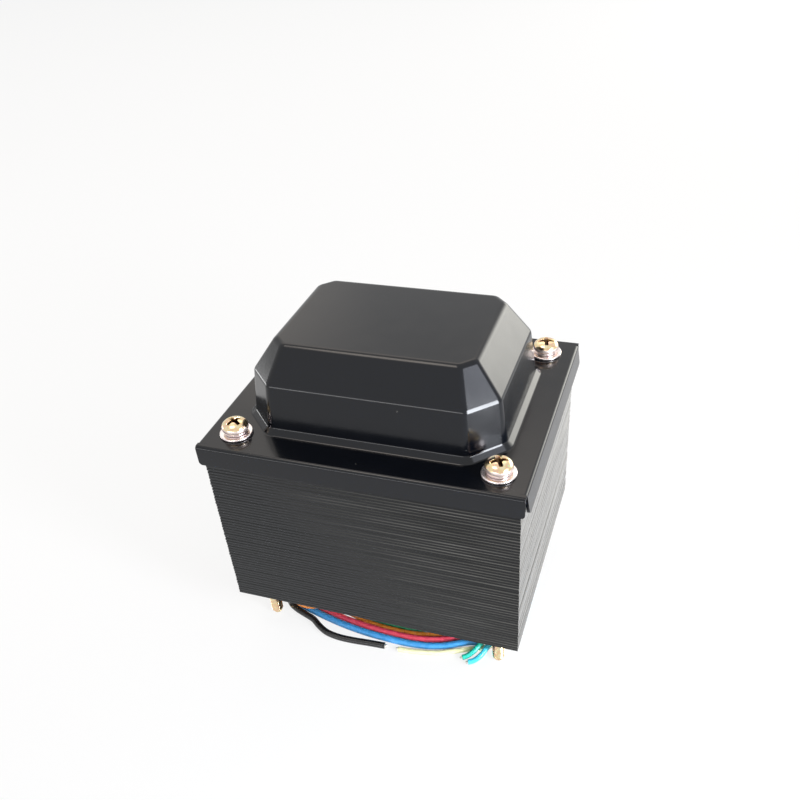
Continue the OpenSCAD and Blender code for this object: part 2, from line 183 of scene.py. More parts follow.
def capped(outlines):
    """Triangles that fill a flat outline round its holes, facing up, from the loops' points in X and Y."""
    loops = [[Vector((x, y, 0)) for x, y in loop] for loop in outlines]
    corners = np.array(tessellate_polygon(loops))
    flat = np.concatenate(outlines)[corners]
    first = flat[:, 1] - flat[:, 0]
    second = flat[:, 2] - flat[:, 0]
    turned = first[:, 0] * second[:, 1] < first[:, 1] * second[:, 0]
    corners[turned] = corners[turned][:, ::-1]
    return corners


def add_piece(name, points, faces, materials, stands_for, slot, crease=35.0, face_material=None, depth=None):
    """Mesh piece in the part's own frame that takes the place of CAD nodes and rides on the body.

    Points in millimetres that fall together are merged, so that seams and poles close. Edges sharper
    than crease degrees stay sharp. A face's number in face_material picks its material. The points'
    depth, if given, becomes an attribute that the material reads.
    """
    mesh = bpy.data.meshes.new(name)
    mesh.from_pydata((points * MM).tolist(), [], faces if isinstance(faces, list) else faces.tolist())
    for material in materials:
        mesh.materials.append(material)
    if face_material is not None:
        mesh.polygons.foreach_set("material_index", np.asarray(face_material, np.int32))
    if depth is not None:
        values = mesh.attributes.new("depth", "FLOAT", "POINT").data
        values.foreach_set("value", np.asarray(depth, np.float32).ravel())
    clean = bmesh.new()
    clean.from_mesh(mesh)
    bmesh.ops.remove_doubles(clean, verts=clean.verts, dist=MERGE * MM)
    clean.to_mesh(mesh)
    clean.free()
    mesh.shade_smooth()
    mesh.set_sharp_from_angle(angle=math.radians(crease))
    piece = bpy.data.objects.new(name, mesh)
    bpy.context.scene.collection.objects.link(piece)
    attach(piece, "root")
    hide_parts(*stands_for)
    return piece


# ---------------------------------------------------------------- material tools

def new_material(name, colour, roughness, metallic=0.0, ior=1.5, coat=0.0, coat_roughness=0.05):
    """Material with plain values on its shader. Returns it with its node tree and the shader."""
    material = bpy.data.materials.new(name)
    material.use_nodes = True
    tree = material.node_tree
    shader = tree.nodes["Principled BSDF"]
    shader.inputs["Base Color"].default_value = (*colour, 1)
    shader.inputs["Roughness"].default_value = roughness
    shader.inputs["Metallic"].default_value = metallic
    shader.inputs["IOR"].default_value = ior
    shader.inputs["Coat Weight"].default_value = coat
    shader.inputs["Coat Roughness"].default_value = coat_roughness
    return material, tree, shader


def place_mm(tree, stretch=(1, 1, 1)):
    """Object coordinates in millimetres, each axis divided by its stretch."""
    source = tree.nodes.new("ShaderNodeTexCoord")
    mapping = tree.nodes.new("ShaderNodeMapping")
    mapping.inputs["Scale"].default_value = [1 / (MM * s) for s in stretch]
    tree.links.new(source.outputs["Object"], mapping.inputs["Vector"])
    return mapping.outputs["Vector"]


def noise(tree, size, detail=2.0, stretch=(1, 1, 1)):
    """Noise from 0 to 1 with blobs about size millimetres across, longer along an axis by its stretch."""
    node = tree.nodes.new("ShaderNodeTexNoise")
    node.inputs["Scale"].default_value = 1 / size
    node.inputs["Detail"].default_value = detail
    tree.links.new(place_mm(tree, stretch), node.inputs["Vector"])
    return node.outputs["Fac"]


def between(tree, value, low, high, start=0.3, end=0.7):
    """Number that goes from low to high as value goes from start to end."""
    node = tree.nodes.new("ShaderNodeMapRange")
    node.inputs["From Min"].default_value = start
    node.inputs["From Max"].default_value = end
    node.inputs["To Min"].default_value = low
    node.inputs["To Max"].default_value = high
    tree.links.new(value, node.inputs["Value"])
    return node.outputs["Result"]


def ramp(tree, value, stops):
    """Colour that follows value through the stops, each a place from 0 to 1 and its colour."""
    node = tree.nodes.new("ShaderNodeValToRGB")
    elements = node.color_ramp.elements
    while len(elements) < len(stops):
        elements.new(1.0)
    for element, (place, colour) in zip(elements, stops):
        element.position = place
        element.color = (*colour, 1)
    tree.links.new(value, node.inputs["Fac"])
    return node.outputs["Color"]


def blend(tree, amount, first, second):
    """Colour between first and second, each a colour or a socket, by the socket amount."""
    node = tree.nodes.new("ShaderNodeMix")
    node.data_type = "RGBA"
    tree.links.new(amount, node.inputs["Factor"])
    for socket, colour in ((node.inputs[6], first), (node.inputs[7], second)):
        if isinstance(colour, tuple):
            socket.default_value = (*colour, 1)
        else:
            tree.links.new(colour, socket)
    return node.outputs[2]


def calculated(tree, operation, first, second):
    """One Math node on two values, each a number or a socket."""
    node = tree.nodes.new("ShaderNodeMath")
    node.operation = operation
    for socket, value in zip(node.inputs, (first, second)):
        if isinstance(value, (int, float)):
            socket.default_value = value
        else:
            tree.links.new(value, socket)
    return node.outputs["Value"]


def raised(tree, shader, height, depth):
    """Makes the surface stand out by up to depth millimetres where height, from 0 to 1, is high."""
    node = tree.nodes.new("ShaderNodeBump")
    node.inputs["Strength"].default_value = 1
    node.inputs["Distance"].default_value = depth * MM
    tree.links.new(height, node.inputs["Height"])
    tree.links.new(node.outputs["Normal"], shader.inputs["Normal"])


# ---------------------------------------------------------------- leads

# Each lead: its colour, its diameter and the points along its middle, from the winding to its bare end.
LEADS = [
    ("black", 2.2, [
        (-9, 22.6, 9.5), (-9, 27.8, 9.5), (-9.7, 31, 9.4), (-11.7, 33.5, 8.9), (-14.7, 34.8, 7.9),
        (-18, 34.9, 6.2), (-21, 34.2, 4.2), (-24, 33, 2.4), (-27, 31.9, 1.3), (-31.2, 31.2, 1.15),
        (-35.2, 29.4, 1.15), (-38, 26.1, 1.15), (-39, 21.9, 1.15), (-39, 0, 1.15), (-39, -21.9, 1.15),
        (-38.2, -25.6, 1.15), (-36.1, -28.7, 1.15), (-32.8, -30.7, 1.15), (-29.2, -32.1, 1.15),
        (-25.6, -33.5, 1.15), (-22.2, -35.9, 1.15), (-18.8, -37.7, 1.15), (-14.5, -38.6, 1.15),
        (-9, -38.7, 1.15), (-3, -38.3, 1.15), (3.4, -38, 1.15)]),
    ("blue", 2.4, [
        (2, 22.6, 9), (2, 27.5, 9), (1.2, 30.7, 8.9), (-1, 32.9, 8.4), (-4, 33.7, 7.5),
        (-7.5, 33.3, 6.1), (-11, 32.3, 4.5), (-14.5, 31.1, 2.9), (-18, 30, 1.8), (-23, 29.1, 1.3),
        (-29.6, 28.8, 1.25), (-33, 27.9, 1.25), (-35.6, 25.3, 1.25), (-36.5, 21.9, 1.25),
        (-36.5, 0, 1.25), (-36.5, -21.9, 1.25), (-35.9, -24.8, 1.25), (-34, -27.2, 1.25),
        (-31.4, -28.6, 1.25), (-22, -31.3, 1.25), (-14, -33.1, 1.25), (-5, -34.4, 1.25),
        (3, -34.9, 1.25), (10, -35, 1.25), (17, -34.2, 1.25), (22.6, -32.5, 1.25), (26.2, -30.6, 1.25),
        (29.4, -29.1, 1.25), (32.2, -28.3, 1.25), (34.4, -26.8, 1.25), (35.9, -24.5, 1.25),
        (36.4, -21.9, 1.25), (36, -14, 1.25), (35.1, -7, 1.25), (34.2, 0, 1.25), (33.9, 7, 1.25)]),
    ("red", 2.2, [
        (12, 22.6, 7.5), (12, 26.8, 7.5), (11.3, 29.5, 7.4), (9.4, 31.4, 7.1), (6.8, 32, 6.6),
        (3.5, 31.5, 5.6), (0, 30.4, 4.3), (-3.5, 29.2, 3), (-7, 28.1, 1.9), (-11, 27.2, 1.3),
        (-17, 26.6, 1.15), (-23, 26.4, 1.15), (-29.6, 26.4, 1.15), (-31.8, 25.8, 1.15),
        (-33.5, 24.1, 1.15), (-34.1, 21.9, 1.15), (-34, 0, 1.15), (-34.1, -21.9, 1.15),
        (-33.6, -23.8, 1.15), (-32.5, -25.3, 1.15), (-30.8, -26.2, 1.15), (-22, -28.7, 1.15),
        (-14, -30.5, 1.15), (-5, -31.8, 1.15), (3, -32.4, 1.15), (10, -32.4, 1.15), (17, -31.4, 1.15),
        (22.2, -29.6, 1.15), (25.8, -27.6, 1.15), (29, -26, 1.15)]),
    ("orange", 1.6, [
        (-21, 22.6, 11), (-21, 26.8, 11), (-21.8, 29.4, 10.8), (-23.8, 31, 9.8), (-26.3, 31.5, 7.9),
        (-28.6, 31.1, 5.8), (-30.9, 30.3, 4.1), (-33.7, 29, 3.05), (-36.7, 26, 3.05),
        (-37.8, 21.9, 3.05), (-37.7, 0, 3.05), (-37.8, -21.9, 3.05), (-37.1, -25.1, 3.05),
        (-35.2, -27.8, 3.05), (-32.4, -29.6, 3.05), (-29, -30.2, 3.2), (-25.5, -29.8, 3.7),
        (-21.4, -28.9, 3.8), (-17.4, -28.2, 2.9), (-13, -28.3, 1.5), (-8.5, -29.2, 0.9),
        (-3, -29.9, 0.85), (3, -30.3, 0.85), (10, -30.2, 0.85), (17, -28.9, 0.85), (22.4, -26.7, 0.85)]),
    ("green", 1.6, [
        (-14, 22.6, 11), (-14, 26.6, 11), (-14.8, 29.2, 10.8), (-17, 30.8, 10.1), (-19.8, 30.8, 8.8),
        (-22.6, 29.8, 6.9), (-25.3, 28.6, 4.9), (-27.9, 27.9, 3.5), (-30.6, 27.4, 3.05),
        (-32.9, 26.4, 3.05), (-34.6, 24.4, 3.05), (-35.2, 21.9, 3.05), (-35.2, 0, 3.05),
        (-35.2, -21.9, 3.05), (-34.7, -24.3, 3.05), (-33.2, -26.2, 3.05), (-31, -27.3, 3.05),
        (-27, -26.9, 3.5), (-23.6, -26.2, 3.2), (-19.4, -25.8, 1.9), (-14, -26.4, 0.95),
        (-5, -27.8, 0.85), (3, -28.5, 0.85), (10, -28.3, 0.85), (15, -27.2, 0.85), (20, -25.7, 0.85)]),
    ("cream", 1.8, [
        (16, 22.6, 7), (16, 26.8, 7), (16.8, 29.2, 6.8), (18.9, 30.8, 6.1), (21.4, 30.7, 4.8),
        (23.8, 29.4, 3.2), (26.1, 27.7, 1.8), (28.4, 26.3, 1.1), (31.2, 25.5, 0.95), (32.9, 24, 0.95),
        (33.5, 21.9, 0.95), (34.3, 17, 0.95), (36, 11, 0.95), (37.8, 5, 0.95), (38.9, -2, 0.95),
        (39.3, -9, 0.95), (39.3, -16, 0.95), (39.1, -21.9, 0.95), (38.5, -25.1, 0.95), (36.9, -28, 0.95),
        (34.4, -30.1, 0.95), (31.2, -31.3, 0.95), (25.8, -33.7, 0.95), (20.6, -36, 0.95),
        (15, -37.2, 0.95), (10.4, -37.8, 0.95), (6.4, -38, 0.95)]),
    ("teal", 1.8, [
        (20.6, 22.6, 9.5), (20.6, 27.4, 9.5), (21.5, 30.3, 9.2), (23.6, 32, 8.3), (26.2, 32, 6.7),
        (28.6, 31, 4.9), (31, 29.3, 3.1), (33.2, 27, 1.7), (34.8, 24.5, 1), (35.8, 21, 0.95),
        (36.9, 16, 0.95), (39, 10, 0.95), (41, 4, 0.95), (42.1, -2, 1), (41.8, -8, 1.6),
        (40.5, -14, 2.6), (38.9, -19, 3.1), (37.6, -23.3, 3.2), (36.6, -26, 3.2), (34.8, -28.1, 3.2),
        (33.2, -31, 2.9), (31.9, -33.2, 2.1), (30.1, -34.9, 1.2), (28, -36.2, 0.95)]),
    ("cyan", 1.8, [
        (25, 22.6, 12), (25, 27.4, 12), (25.9, 30.4, 11.8), (28, 32.3, 11), (30.6, 32.5, 9.5),
        (33.2, 31.2, 7.6), (35.4, 28.6, 5.4), (37.1, 25.4, 3.3), (38.3, 22, 1.7), (39.3, 17.5, 1),
        (41, 12, 0.95), (43.1, 5, 0.95), (44.4, -2, 1), (44.2, -8, 1.5), (43, -13.5, 2.4),
        (41.4, -18.5, 3), (39.6, -23.7, 3.2), (38.6, -26.6, 3.2), (36.8, -29.1, 3.2), (35.6, -31.9, 2.7),
        (34.4, -34.4, 1.9), (32.6, -36.2, 1.1), (30.3, -37.5, 0.95)]),
]
LEAD_SIDES = 16
# Length of the stripped end, and the conductor's diameter as a share of the sleeve's.
STRIPPED = 0.8
CONDUCTOR = 0.46
# The sleeve's end is rounded over this share of its diameter.
SLEEVE_LIP = 0.12


def smooth_route(points, steps=10):
    """Centripetal Catmull-Rom curve through the points, as many steps on each stretch.

    The slope at a point weighs the stretches on its two sides by the square roots of their lengths.
    """
    points = np.asarray(points, float)
    points = np.vstack([2 * points[0] - points[1], points, 2 * points[-1] - points[-2]])
    p0, p1, p2, p3 = points[:-3], points[1:-2], points[2:-1], points[3:]
    stretches = ((p0, p1), (p1, p2), (p2, p3))
    d1, d2, d3 = (np.sqrt(np.linalg.norm(end - start, axis=1))[:, None] for start, end in stretches)
    slope1 = ((p1 - p0) / d1 - (p2 - p0) / (d1 + d2) + (p2 - p1) / d2) * d2
    slope2 = ((p2 - p1) / d2 - (p3 - p1) / (d2 + d3) + (p3 - p2) / d3) * d2
    t = (np.arange(steps) / steps)[None, :, None]
    curve = ((2 * t**3 - 3 * t**2 + 1) * p1[:, None] + (t**3 - 2 * t**2 + t) * slope1[:, None]
             + (3 * t**2 - 2 * t**3) * p2[:, None] + (t**3 - t**2) * slope2[:, None])
    return np.vstack([curve.reshape(-1, 3), p2[-1]])


def add_lead(colour, diameter, points, sleeve, tinned):
    """Lead swept along its route: a round sleeve, then its stripped end, which is a thinner conductor.

    A ring of points stands across the route's direction at each step, level on one axis. The rings at
    the two ends and at the end of the sleeve close by their radius.
    """
    route = smooth_route(points)
    walked = np.concatenate([[0], np.cumsum(np.linalg.norm(np.diff(route, axis=0), axis=1))])
    length = walked[-1]
    strip = length - STRIPPED
    radius = diameter / 2
    core = radius * CONDUCTOR
    lip = SLEEVE_LIP * diameter
    between_ends = walked[(walked > 0) & (walked < strip - lip)]
    sleeve_at = np.concatenate([[0, 0], between_ends, [strip - lip, strip, strip]])
    core_at = np.concatenate([np.linspace(strip, length - core / 3, 3), [length, length]])
    at = np.concatenate([sleeve_at, core_at])
    radii = np.concatenate([[0], np.full(len(sleeve_at) - 3, radius), [0.88 * radius, core],
                            np.full(3, core), [0.7 * core, 0]])
    heading = np.gradient(route, walked, axis=0)
    centre = np.stack([np.interp(at, walked, route[:, k]) for k in range(3)], 1)
    ahead = np.stack([np.interp(at, walked, heading[:, k]) for k in range(3)], 1)
    ahead /= np.linalg.norm(ahead, axis=1)[:, None]
    level = np.cross(ahead, (0, 0, 1))
    level /= np.linalg.norm(level, axis=1)[:, None]
    upright = np.cross(level, ahead)
    turn = np.linspace(0, 2 * math.pi, LEAD_SIDES, endpoint=False)[None, :, None]
    outward = np.cos(turn) * level[:, None] - np.sin(turn) * upright[:, None]
    rings = centre[:, None] + radii[:, None, None] * outward
    faces = grid_faces(len(at), LEAD_SIDES, closed_cols=True)
    bare = faces[:, 0] // LEAD_SIDES >= len(sleeve_at) - 2
    name = "lead_" + colour
    piece = add_piece(name + "_sleeved", rings.reshape(-1, 3), faces, [sleeve, tinned], [name],
                      "pvc_" + colour, face_material=bare)


# ---------------------------------------------------------------- bell cover

SHEET = 0.9
# Room between the coil and the outer face of the dome's walls: at the sides, at the front and the
# back, and at the corners, which are cut.
ROOM_X = 6.1
ROOM_Y = 3.7
WALL_CUT = 8.2
# The wall ends this far above the coil, and the slopes lean in by these runs up to the flat top.
WALL_ROOM = 0.9
SLOPE_RUN_X = 7.4
SLOPE_RUN_Y = 7.0
TOP_CUT = 3.9
# The wall leans out by the draft down to its foot, which flares by as much again as it rises.
WALL_DRAFT = 1.9
FOOT_FLARE = 1.4
# Radii of the bends: at the slopes, where the foot meets the flange, and where it meets the wall.
EDGE_R = 2.6
FOOT_R = 0.8
CREASE_R = 1.3
# The corner cut grows by this much for each millimetre that an octagon grows.
CUT_GROWTH = 2 - math.sqrt(2)
# The octagon's sizes are carried on past the wall by this much, so that the foot has them too.
BEYOND = 10
# The dome's top closes in rings, and its plan's corners are nearly sharp where they start.
TOP_RINGS = 5
TOP_CORNER_R = 0.3
ARC_POINTS = 10
# Distance from the foot of the dome to the point where the flat flange starts.
FOOT_MARGIN = 1.0

# Each lip bends down by LIP_R after a level ledge, and the side lips splay out.
LIP_R = 1.1
LEDGE = 0.4
LIP_H = 6.8
SIDE_SPLAY = math.radians(8)
# A side lip ends the slit's width before the bend line of the front or back lip, but for its reach.
# A front or back lip ends a gap before the side lip's outer edge. LIP_CORNER_R rounds the lips' lower
# corners, and the flange's corner stands a step past the side lip's end.
SLIT = 1.1
SIDE_LIP_REACH = 0.1
LIP_END_GAP = 0.2
LIP_CORNER_R = 1.2
NOTCH_STEP = 0.05
# The sheet's cut edges are broken by this much.
CUT_EDGE = 0.12
HOLE_D = 4.8
# A ring of even faces round each bolt hole keeps the hole's bevel clean.
HOLE_MARGIN = 0.6
# A face whose direction points up by more than this counts as level.
LEVEL = 0.9999


def octagon_rings(half_x, half_y, cut, radius):
    """Rings of points round rectangles with cut corners, one ring for each row of the four sizes.

    Each of the eight corners is an arc of that radius, which touches both sides while the outward
    direction turns by 45 degrees, and one straight line joins it to the next.
    """
    x, y, c, r = (np.asarray(size, float)[:, None] for size in (half_x, half_y, cut, radius))
    corner_x = np.array([1, 1, 1, -1, -1, -1, -1, 1]) * (x - np.array([0, 0, 1, 1, 0, 0, 1, 1]) * c)
    corner_y = np.array([-1, 1, 1, 1, 1, -1, -1, -1]) * (y - np.array([1, 1, 0, 0, 1, 1, 0, 0]) * c)
    middle = np.radians(45 * np.arange(8) - 22.5)
    reach = r / math.cos(math.radians(22.5))
    centre_x = corner_x - reach * np.cos(middle)
    centre_y = corner_y - reach * np.sin(middle)
    turn = middle[:, None] + np.radians(np.linspace(-22.5, 22.5, ARC_POINTS))
    arcs = np.stack([centre_x[..., None] + r[..., None] * np.cos(turn),
                     centre_y[..., None] + r[..., None] * np.sin(turn)], -1)
    return arcs.reshape(len(arcs), -1, 2)


def dome_surface(coil, flange_top, cover_top):
    """Dome, from the edge of the flat flange to the middle of its top: points, faces and its outer ring.

    Its section runs along the flange, up the flared foot, up the wall, which leans in by the draft, up
    the slope and over the flat top, and every bend is an arc. Where the section has come in by inset,
    the dome's plan is an octagon: the wall's, grown by the inset outside it, and shrinking from the
    wall's sizes to the top's along the slope. The flat top closes by shrinking to a point.
    """
    wall_h = coil[2] - flange_top + WALL_ROOM
    dome_h = cover_top - flange_top
    run = (SLOPE_RUN_X + SLOPE_RUN_Y) / 2
    crease_z = FOOT_FLARE / (1 - WALL_DRAFT / wall_h)
    foot = -WALL_DRAFT - FOOT_FLARE
    section = filleted(
        [(foot - FOOT_MARGIN, 0), (foot, 0), (foot + crease_z, crease_z), (0, wall_h), (run, dome_h),
         (run + EDGE_R, dome_h)],
        [0, FOOT_R, CREASE_R, EDGE_R, EDGE_R, 0], step=6)
    inset, height = section.T
    knots = [-BEYOND, 0, run, run + EDGE_R]
    wall_x = coil[0] + ROOM_X
    wall_y = coil[1] + ROOM_Y
    top_x = wall_x - SLOPE_RUN_X
    top_y = wall_y - SLOPE_RUN_Y
    half_x = np.interp(inset, knots, [wall_x + BEYOND, wall_x, top_x, top_x - EDGE_R])
    half_y = np.interp(inset, knots, [wall_y + BEYOND, wall_y, top_y, top_y - EDGE_R])
    wide_cut = WALL_CUT + BEYOND * CUT_GROWTH
    cut = np.interp(inset, knots, [wide_cut, WALL_CUT, TOP_CUT, TOP_CUT - EDGE_R * CUT_GROWTH])
    radius = np.interp(inset, knots, [EDGE_R + BEYOND, EDGE_R, EDGE_R, TOP_CORNER_R])
    rings = octagon_rings(half_x, half_y, cut, radius)
    rings = np.concatenate([rings, rings[-1] * np.linspace(0.8, 0, TOP_RINGS)[:, None, None]])
    height = np.concatenate([height, np.full(TOP_RINGS, dome_h)])
    points = np.dstack([rings, np.broadcast_to(height[:, None] + flange_top, rings.shape[:2])])
    return points.reshape(-1, 3), grid_faces(len(rings), rings.shape[1], closed_cols=True), rings[0]


def lip_surface(outward, bend_line, half_run, splay, flange_top):
    """Lip that bends down from the flange along a line, on the side that outward names, then hangs.

    Its section is an arc that starts level at the bend line and ends at the splay, and a straight
    stretch. Towards the lower edge a row is shorter, by the drop of a circle, which rounds the corners.
    """
    arc = np.linspace(math.pi / 2, splay, 13)
    hang = LIP_H - LIP_R
    rest = hang - LIP_CORNER_R * (1 - np.sin(np.linspace(0, math.pi / 2, 7)))
    fall = np.concatenate([[0.4 * hang], rest])
    out = np.concatenate([[-LEDGE], LIP_R * np.cos(arc), LIP_R * math.cos(splay) + fall * math.sin(splay)])
    bend_drop = LIP_R * (1 - math.sin(splay))
    down = np.concatenate([[0], LIP_R * (1 - np.sin(arc)), bend_drop + fall * math.cos(splay)])
    left = np.concatenate([np.full(len(arc) + 1, hang), hang - fall])
    missing = np.clip(LIP_CORNER_R - left, 0, LIP_CORNER_R)
    half = half_run - LIP_CORNER_R + np.sqrt(LIP_CORNER_R**2 - missing**2)
    along = half[:, None] * np.array((-1, 1))
    across = np.broadcast_to((bend_line + out)[:, None], along.shape)
    x = outward[0] * across + outward[1] * along
    y = outward[1] * across - outward[0] * along
    z = np.broadcast_to((flange_top - down)[:, None], along.shape)
    return np.dstack([x, y, z]).reshape(-1, 3), grid_faces(len(out), 2)


def add_bell_cover(paint):
    """Pressed cover: the dome, the flange with its bolt holes and four lips, made one sheet thick."""
    high = box_mm("bell_cover")[1]
    coil_high = box_mm("coil_former")[1]
    flange_top = box_mm("flat_washer_front_left")[0][2]
    side_bend = high[0] - LIP_R * math.cos(SIDE_SPLAY) - (LIP_H - LIP_R) * math.sin(SIDE_SPLAY)
    side_end = high[1] - LIP_R - SLIT + SIDE_LIP_REACH
    front_bend = high[1] - LIP_R
    front_end = side_bend + LIP_R - LIP_END_GAP
    dome_points, dome_faces, foot_ring = dome_surface(coil_high, flange_top, high[2])
    parts = [(dome_points, dome_faces)]
    outline = []
    for outward in ((1, 0), (0, 1), (-1, 0), (0, -1)):
        on_side = outward[0] != 0
        bend = side_bend if on_side else front_bend
        end = side_end if on_side else front_end
        splay = SIDE_SPLAY if on_side else 0.0
        parts.append(lip_surface(outward, bend, end, splay, flange_top))
        along = end * np.array([[-1], [1]])
        out = np.array(outward)
        onward = np.array((-outward[1], outward[0]))
        outline.append(out * (bend - LEDGE) + onward * along)
        if on_side:
            outline.append((out * front_end + onward * (side_end + NOTCH_STEP))[None])
        else:
            outline.append((onward * front_end + out * (side_end + NOTCH_STEP))[None])
    circle = clockwise_circle(32)
    radii = np.array([HOLE_D / 2, HOLE_D / 2 + HOLE_MARGIN])[:, None, None]
    holes = []
    for corner in CORNERS:
        rings = radii * circle + bolt_centre(corner)
        level = np.full((*rings.shape[:2], 1), flange_top)
        margin = np.concatenate([rings, level], -1).reshape(-1, 3)
        parts.append((margin, grid_faces(2, len(circle), closed_cols=True)))
        holes.append(rings[1])
    loops = [np.concatenate(outline), foot_ring[::-1], *holes]
    flat = np.concatenate(loops)
    flat = np.column_stack([flat, np.full(len(flat), flange_top)])
    flange = evenly_capped(loops)
    parts.append((flat, flange))
    cover = add_piece("cover_pressed", *joined(parts), [paint], ["bell_cover"], "cover_paint")
    normals = np.empty(3 * len(cover.data.polygons), np.float32)
    cover.data.polygons.foreach_get("normal", normals)
    # Level faces are shaded flat, so that they take no shade from the bends beside them.
    smooth = normals[2::3] < LEVEL
    smooth[-len(flange):] = False
    cover.data.polygons.foreach_set("use_smooth", smooth)
    wall = cover.modifiers.new("sheet", "SOLIDIFY")
    wall.thickness = SHEET * MM
    wall.offset = -1
    wall.use_even_offset = True
    edges = cover.modifiers.new("edges", "BEVEL")
    edges.width = CUT_EDGE * MM
    edges.segments = 2
    edges.limit_method = "ANGLE"
    edges.angle_limit = math.radians(50)
    shading = cover.modifiers.new("shading", "WEIGHTED_NORMAL")
    shading.keep_sharp = True


# ---------------------------------------------------------------- core

# Each CAD packet is drawn as this many plates, with a film of varnish between one and the next.
PLATES_IN_PACKET = 2
PACKETS = 28
FILM = 0.03
# The punched edge of a plate is rounded below and has a burr's slope above.
LOWER_EDGE = 0.1
UPPER_EDGE = 0.2
UPPER_EDGE_H = 0.24
# The plates lie out of line by about this much, and by the other at most.
SLIDE = 0.05
MOST_SLIDE = 0.15


def bolt_centre(corner):
    """Middle of the bolt at that corner, in X and Y."""
    low, high = box_mm("bolt_" + corner)
    return (low[:2] + high[:2]) / 2


def clockwise_circle(count):
    """That many points of a circle of radius 1, as a loop that runs clockwise."""
    turn = np.linspace(0, 2 * math.pi, count, endpoint=False)
    return np.stack([np.cos(turn), -np.sin(turn)], 1)


def inset_loop(loop, inset):
    """The loop moved in by inset, each corner along the sum of its two sides' outward directions."""
    ahead = np.roll(loop, -1, axis=0) - loop
    ahead /= np.linalg.norm(ahead, axis=1)[:, None]
    outward = np.stack([ahead[:, 1], -ahead[:, 0]], 1)
    before = np.roll(outward, 1, axis=0)
    both = 1 + np.sum(outward * before, axis=1)
    return loop - inset * (outward + before) / both[:, None]


def plate_shape(outline, holes, thickness):
    """One plate on z = 0: rows of the outline that go in at its edges, its holes and two caps.

    The third list is 1 for the faces of the upper edge, where the steel is bare, and 2 for those of
    the plate's two ends.
    """
    along = np.roll(outline, -1, axis=0) - outline
    at_end = (np.abs(along[:, 0]) < 0.01) & (np.abs(outline[:, 0]) == outline.max())
    ends = np.where(at_end, 2, 0).tolist()
    rows = [(0, LOWER_EDGE), (LOWER_EDGE, 0), (thickness - UPPER_EDGE_H, 0), (thickness, UPPER_EDGE)]
    parts = []
    bare = []
    for number, loop in enumerate([outline, *holes]):
        rings = [np.column_stack([inset_loop(loop, 0 if number else inset), np.full(len(loop), z)])
                 for z, inset in rows]
        parts.append((np.concatenate(rings), grid_faces(len(rows), len(loop), closed_cols=True)))
        bare += [0] * 3 * len(loop) if number else [0] * len(loop) + ends + [1] * len(loop)
    for (z, inset), upward in ((rows[0], False), (rows[-1], True)):
        loops = [inset_loop(outline, inset), *holes]
        flat = np.concatenate(loops)
        corners = capped(loops)
        points = np.column_stack([flat, np.full(len(flat), z)])
        parts.append((points, corners if upward else corners[:, ::-1]))
        bare += [0] * len(corners)
    return *joined(parts), bare


def add_plates(name, outline, holes, first, slides, finishes):
    """Every second packet of the stack as plates, each slid a little out of line with the rest."""
    core_low = box_mm("e_laminations_front")[0][2]
    core_high = box_mm("e_laminations_rear")[1][2]
    pitch = (core_high - core_low) / (PACKETS * PLATES_IN_PACKET)
    points, faces, bare = plate_shape(outline, holes, pitch - FILM)
    numbers = np.arange(PACKETS * PLATES_IN_PACKET)
    numbers = numbers[numbers // PLATES_IN_PACKET % 2 == first]
    places = np.column_stack([slides[numbers], core_low + pitch * numbers])
    tiled = (points[None] + places[:, None]).reshape(-1, 3)
    starts = len(points) * np.arange(len(numbers))
    all_faces = [[corner + start for corner in face] for start in starts.tolist() for face in faces]
    add_piece(name + "_plates", tiled, all_faces, finishes, [name], "core_varnish", crease=25,
              face_material=np.tile(bare, len(numbers)))


def add_core(finishes):
    """The interleaved core: E plates with their backs in front or behind, and I plates across them.

    A leg is a sixth of the plate's width, and the tongue, from -leg to leg, is twice as wide.
    """
    low, high = box_mm("e_laminations_front")
    rear_low = box_mm("i_laminations_rear")[0][1]
    half = high[0]
    leg = half / 3
    back = leg - box_mm("i_laminations_rear")[1][1]
    open_end = high[1]
    e_front = np.array([
        (-half, low[1]), (half, low[1]), (half, open_end), (half - leg, open_end), (half - leg, back),
        (leg, back), (leg, open_end), (-leg, open_end), (-leg, back), (leg - half, back),
        (leg - half, open_end), (-half, open_end)])
    i_rear = np.array([(-half, rear_low), (half, rear_low), (half, -low[1]), (-half, -low[1])])
    random = np.random.default_rng(9)
    slides = np.clip(random.normal(0, SLIDE, (PACKETS * PLATES_IN_PACKET, 2)), -MOST_SLIDE, MOST_SLIDE)
    turned = np.array((1, -1))
    holes = [bolt_centre(corner) + HOLE_D / 2 * clockwise_circle(24) for corner in CORNERS]
    front_holes = holes[:2]
    rear_holes = holes[2:]
    add_plates("e_laminations_front", e_front, front_holes, 0, slides, finishes)
    add_plates("i_laminations_rear", i_rear, rear_holes, 0, slides, finishes)
    add_plates("e_laminations_rear", (e_front * turned)[::-1], rear_holes, 1, slides, finishes)
    add_plates("i_laminations_front", (i_rear * turned)[::-1], front_holes, 1, slides, finishes)


# ---------------------------------------------------------------- bolts, nuts and washers

# The thread starts a chamfer's height above the bolt's tip.
THREAD_PITCH = 0.7
THREAD_DEPTH = 0.4
THREAD_R = 2.0
SHANK_R = 1.77
CHAMFER = 0.6
# The first ring of the thread is this much thinner. The thread deepens over the run-in from there,
# and fades over the run-out at its upper end.
TIP_TAPER = 0.35
RUN_IN = 0.5
RUN_OUT = 0.7
BOLT_COLUMNS = 128
RING_COLUMNS = 96
# The head's crown is a curve like an ellipse's, with this power in place of two. Its plating is paler
# outside RIM_R.
CROWN_H = 2.2
CROWN_POWER = 2.4
RIM_R = 3.86
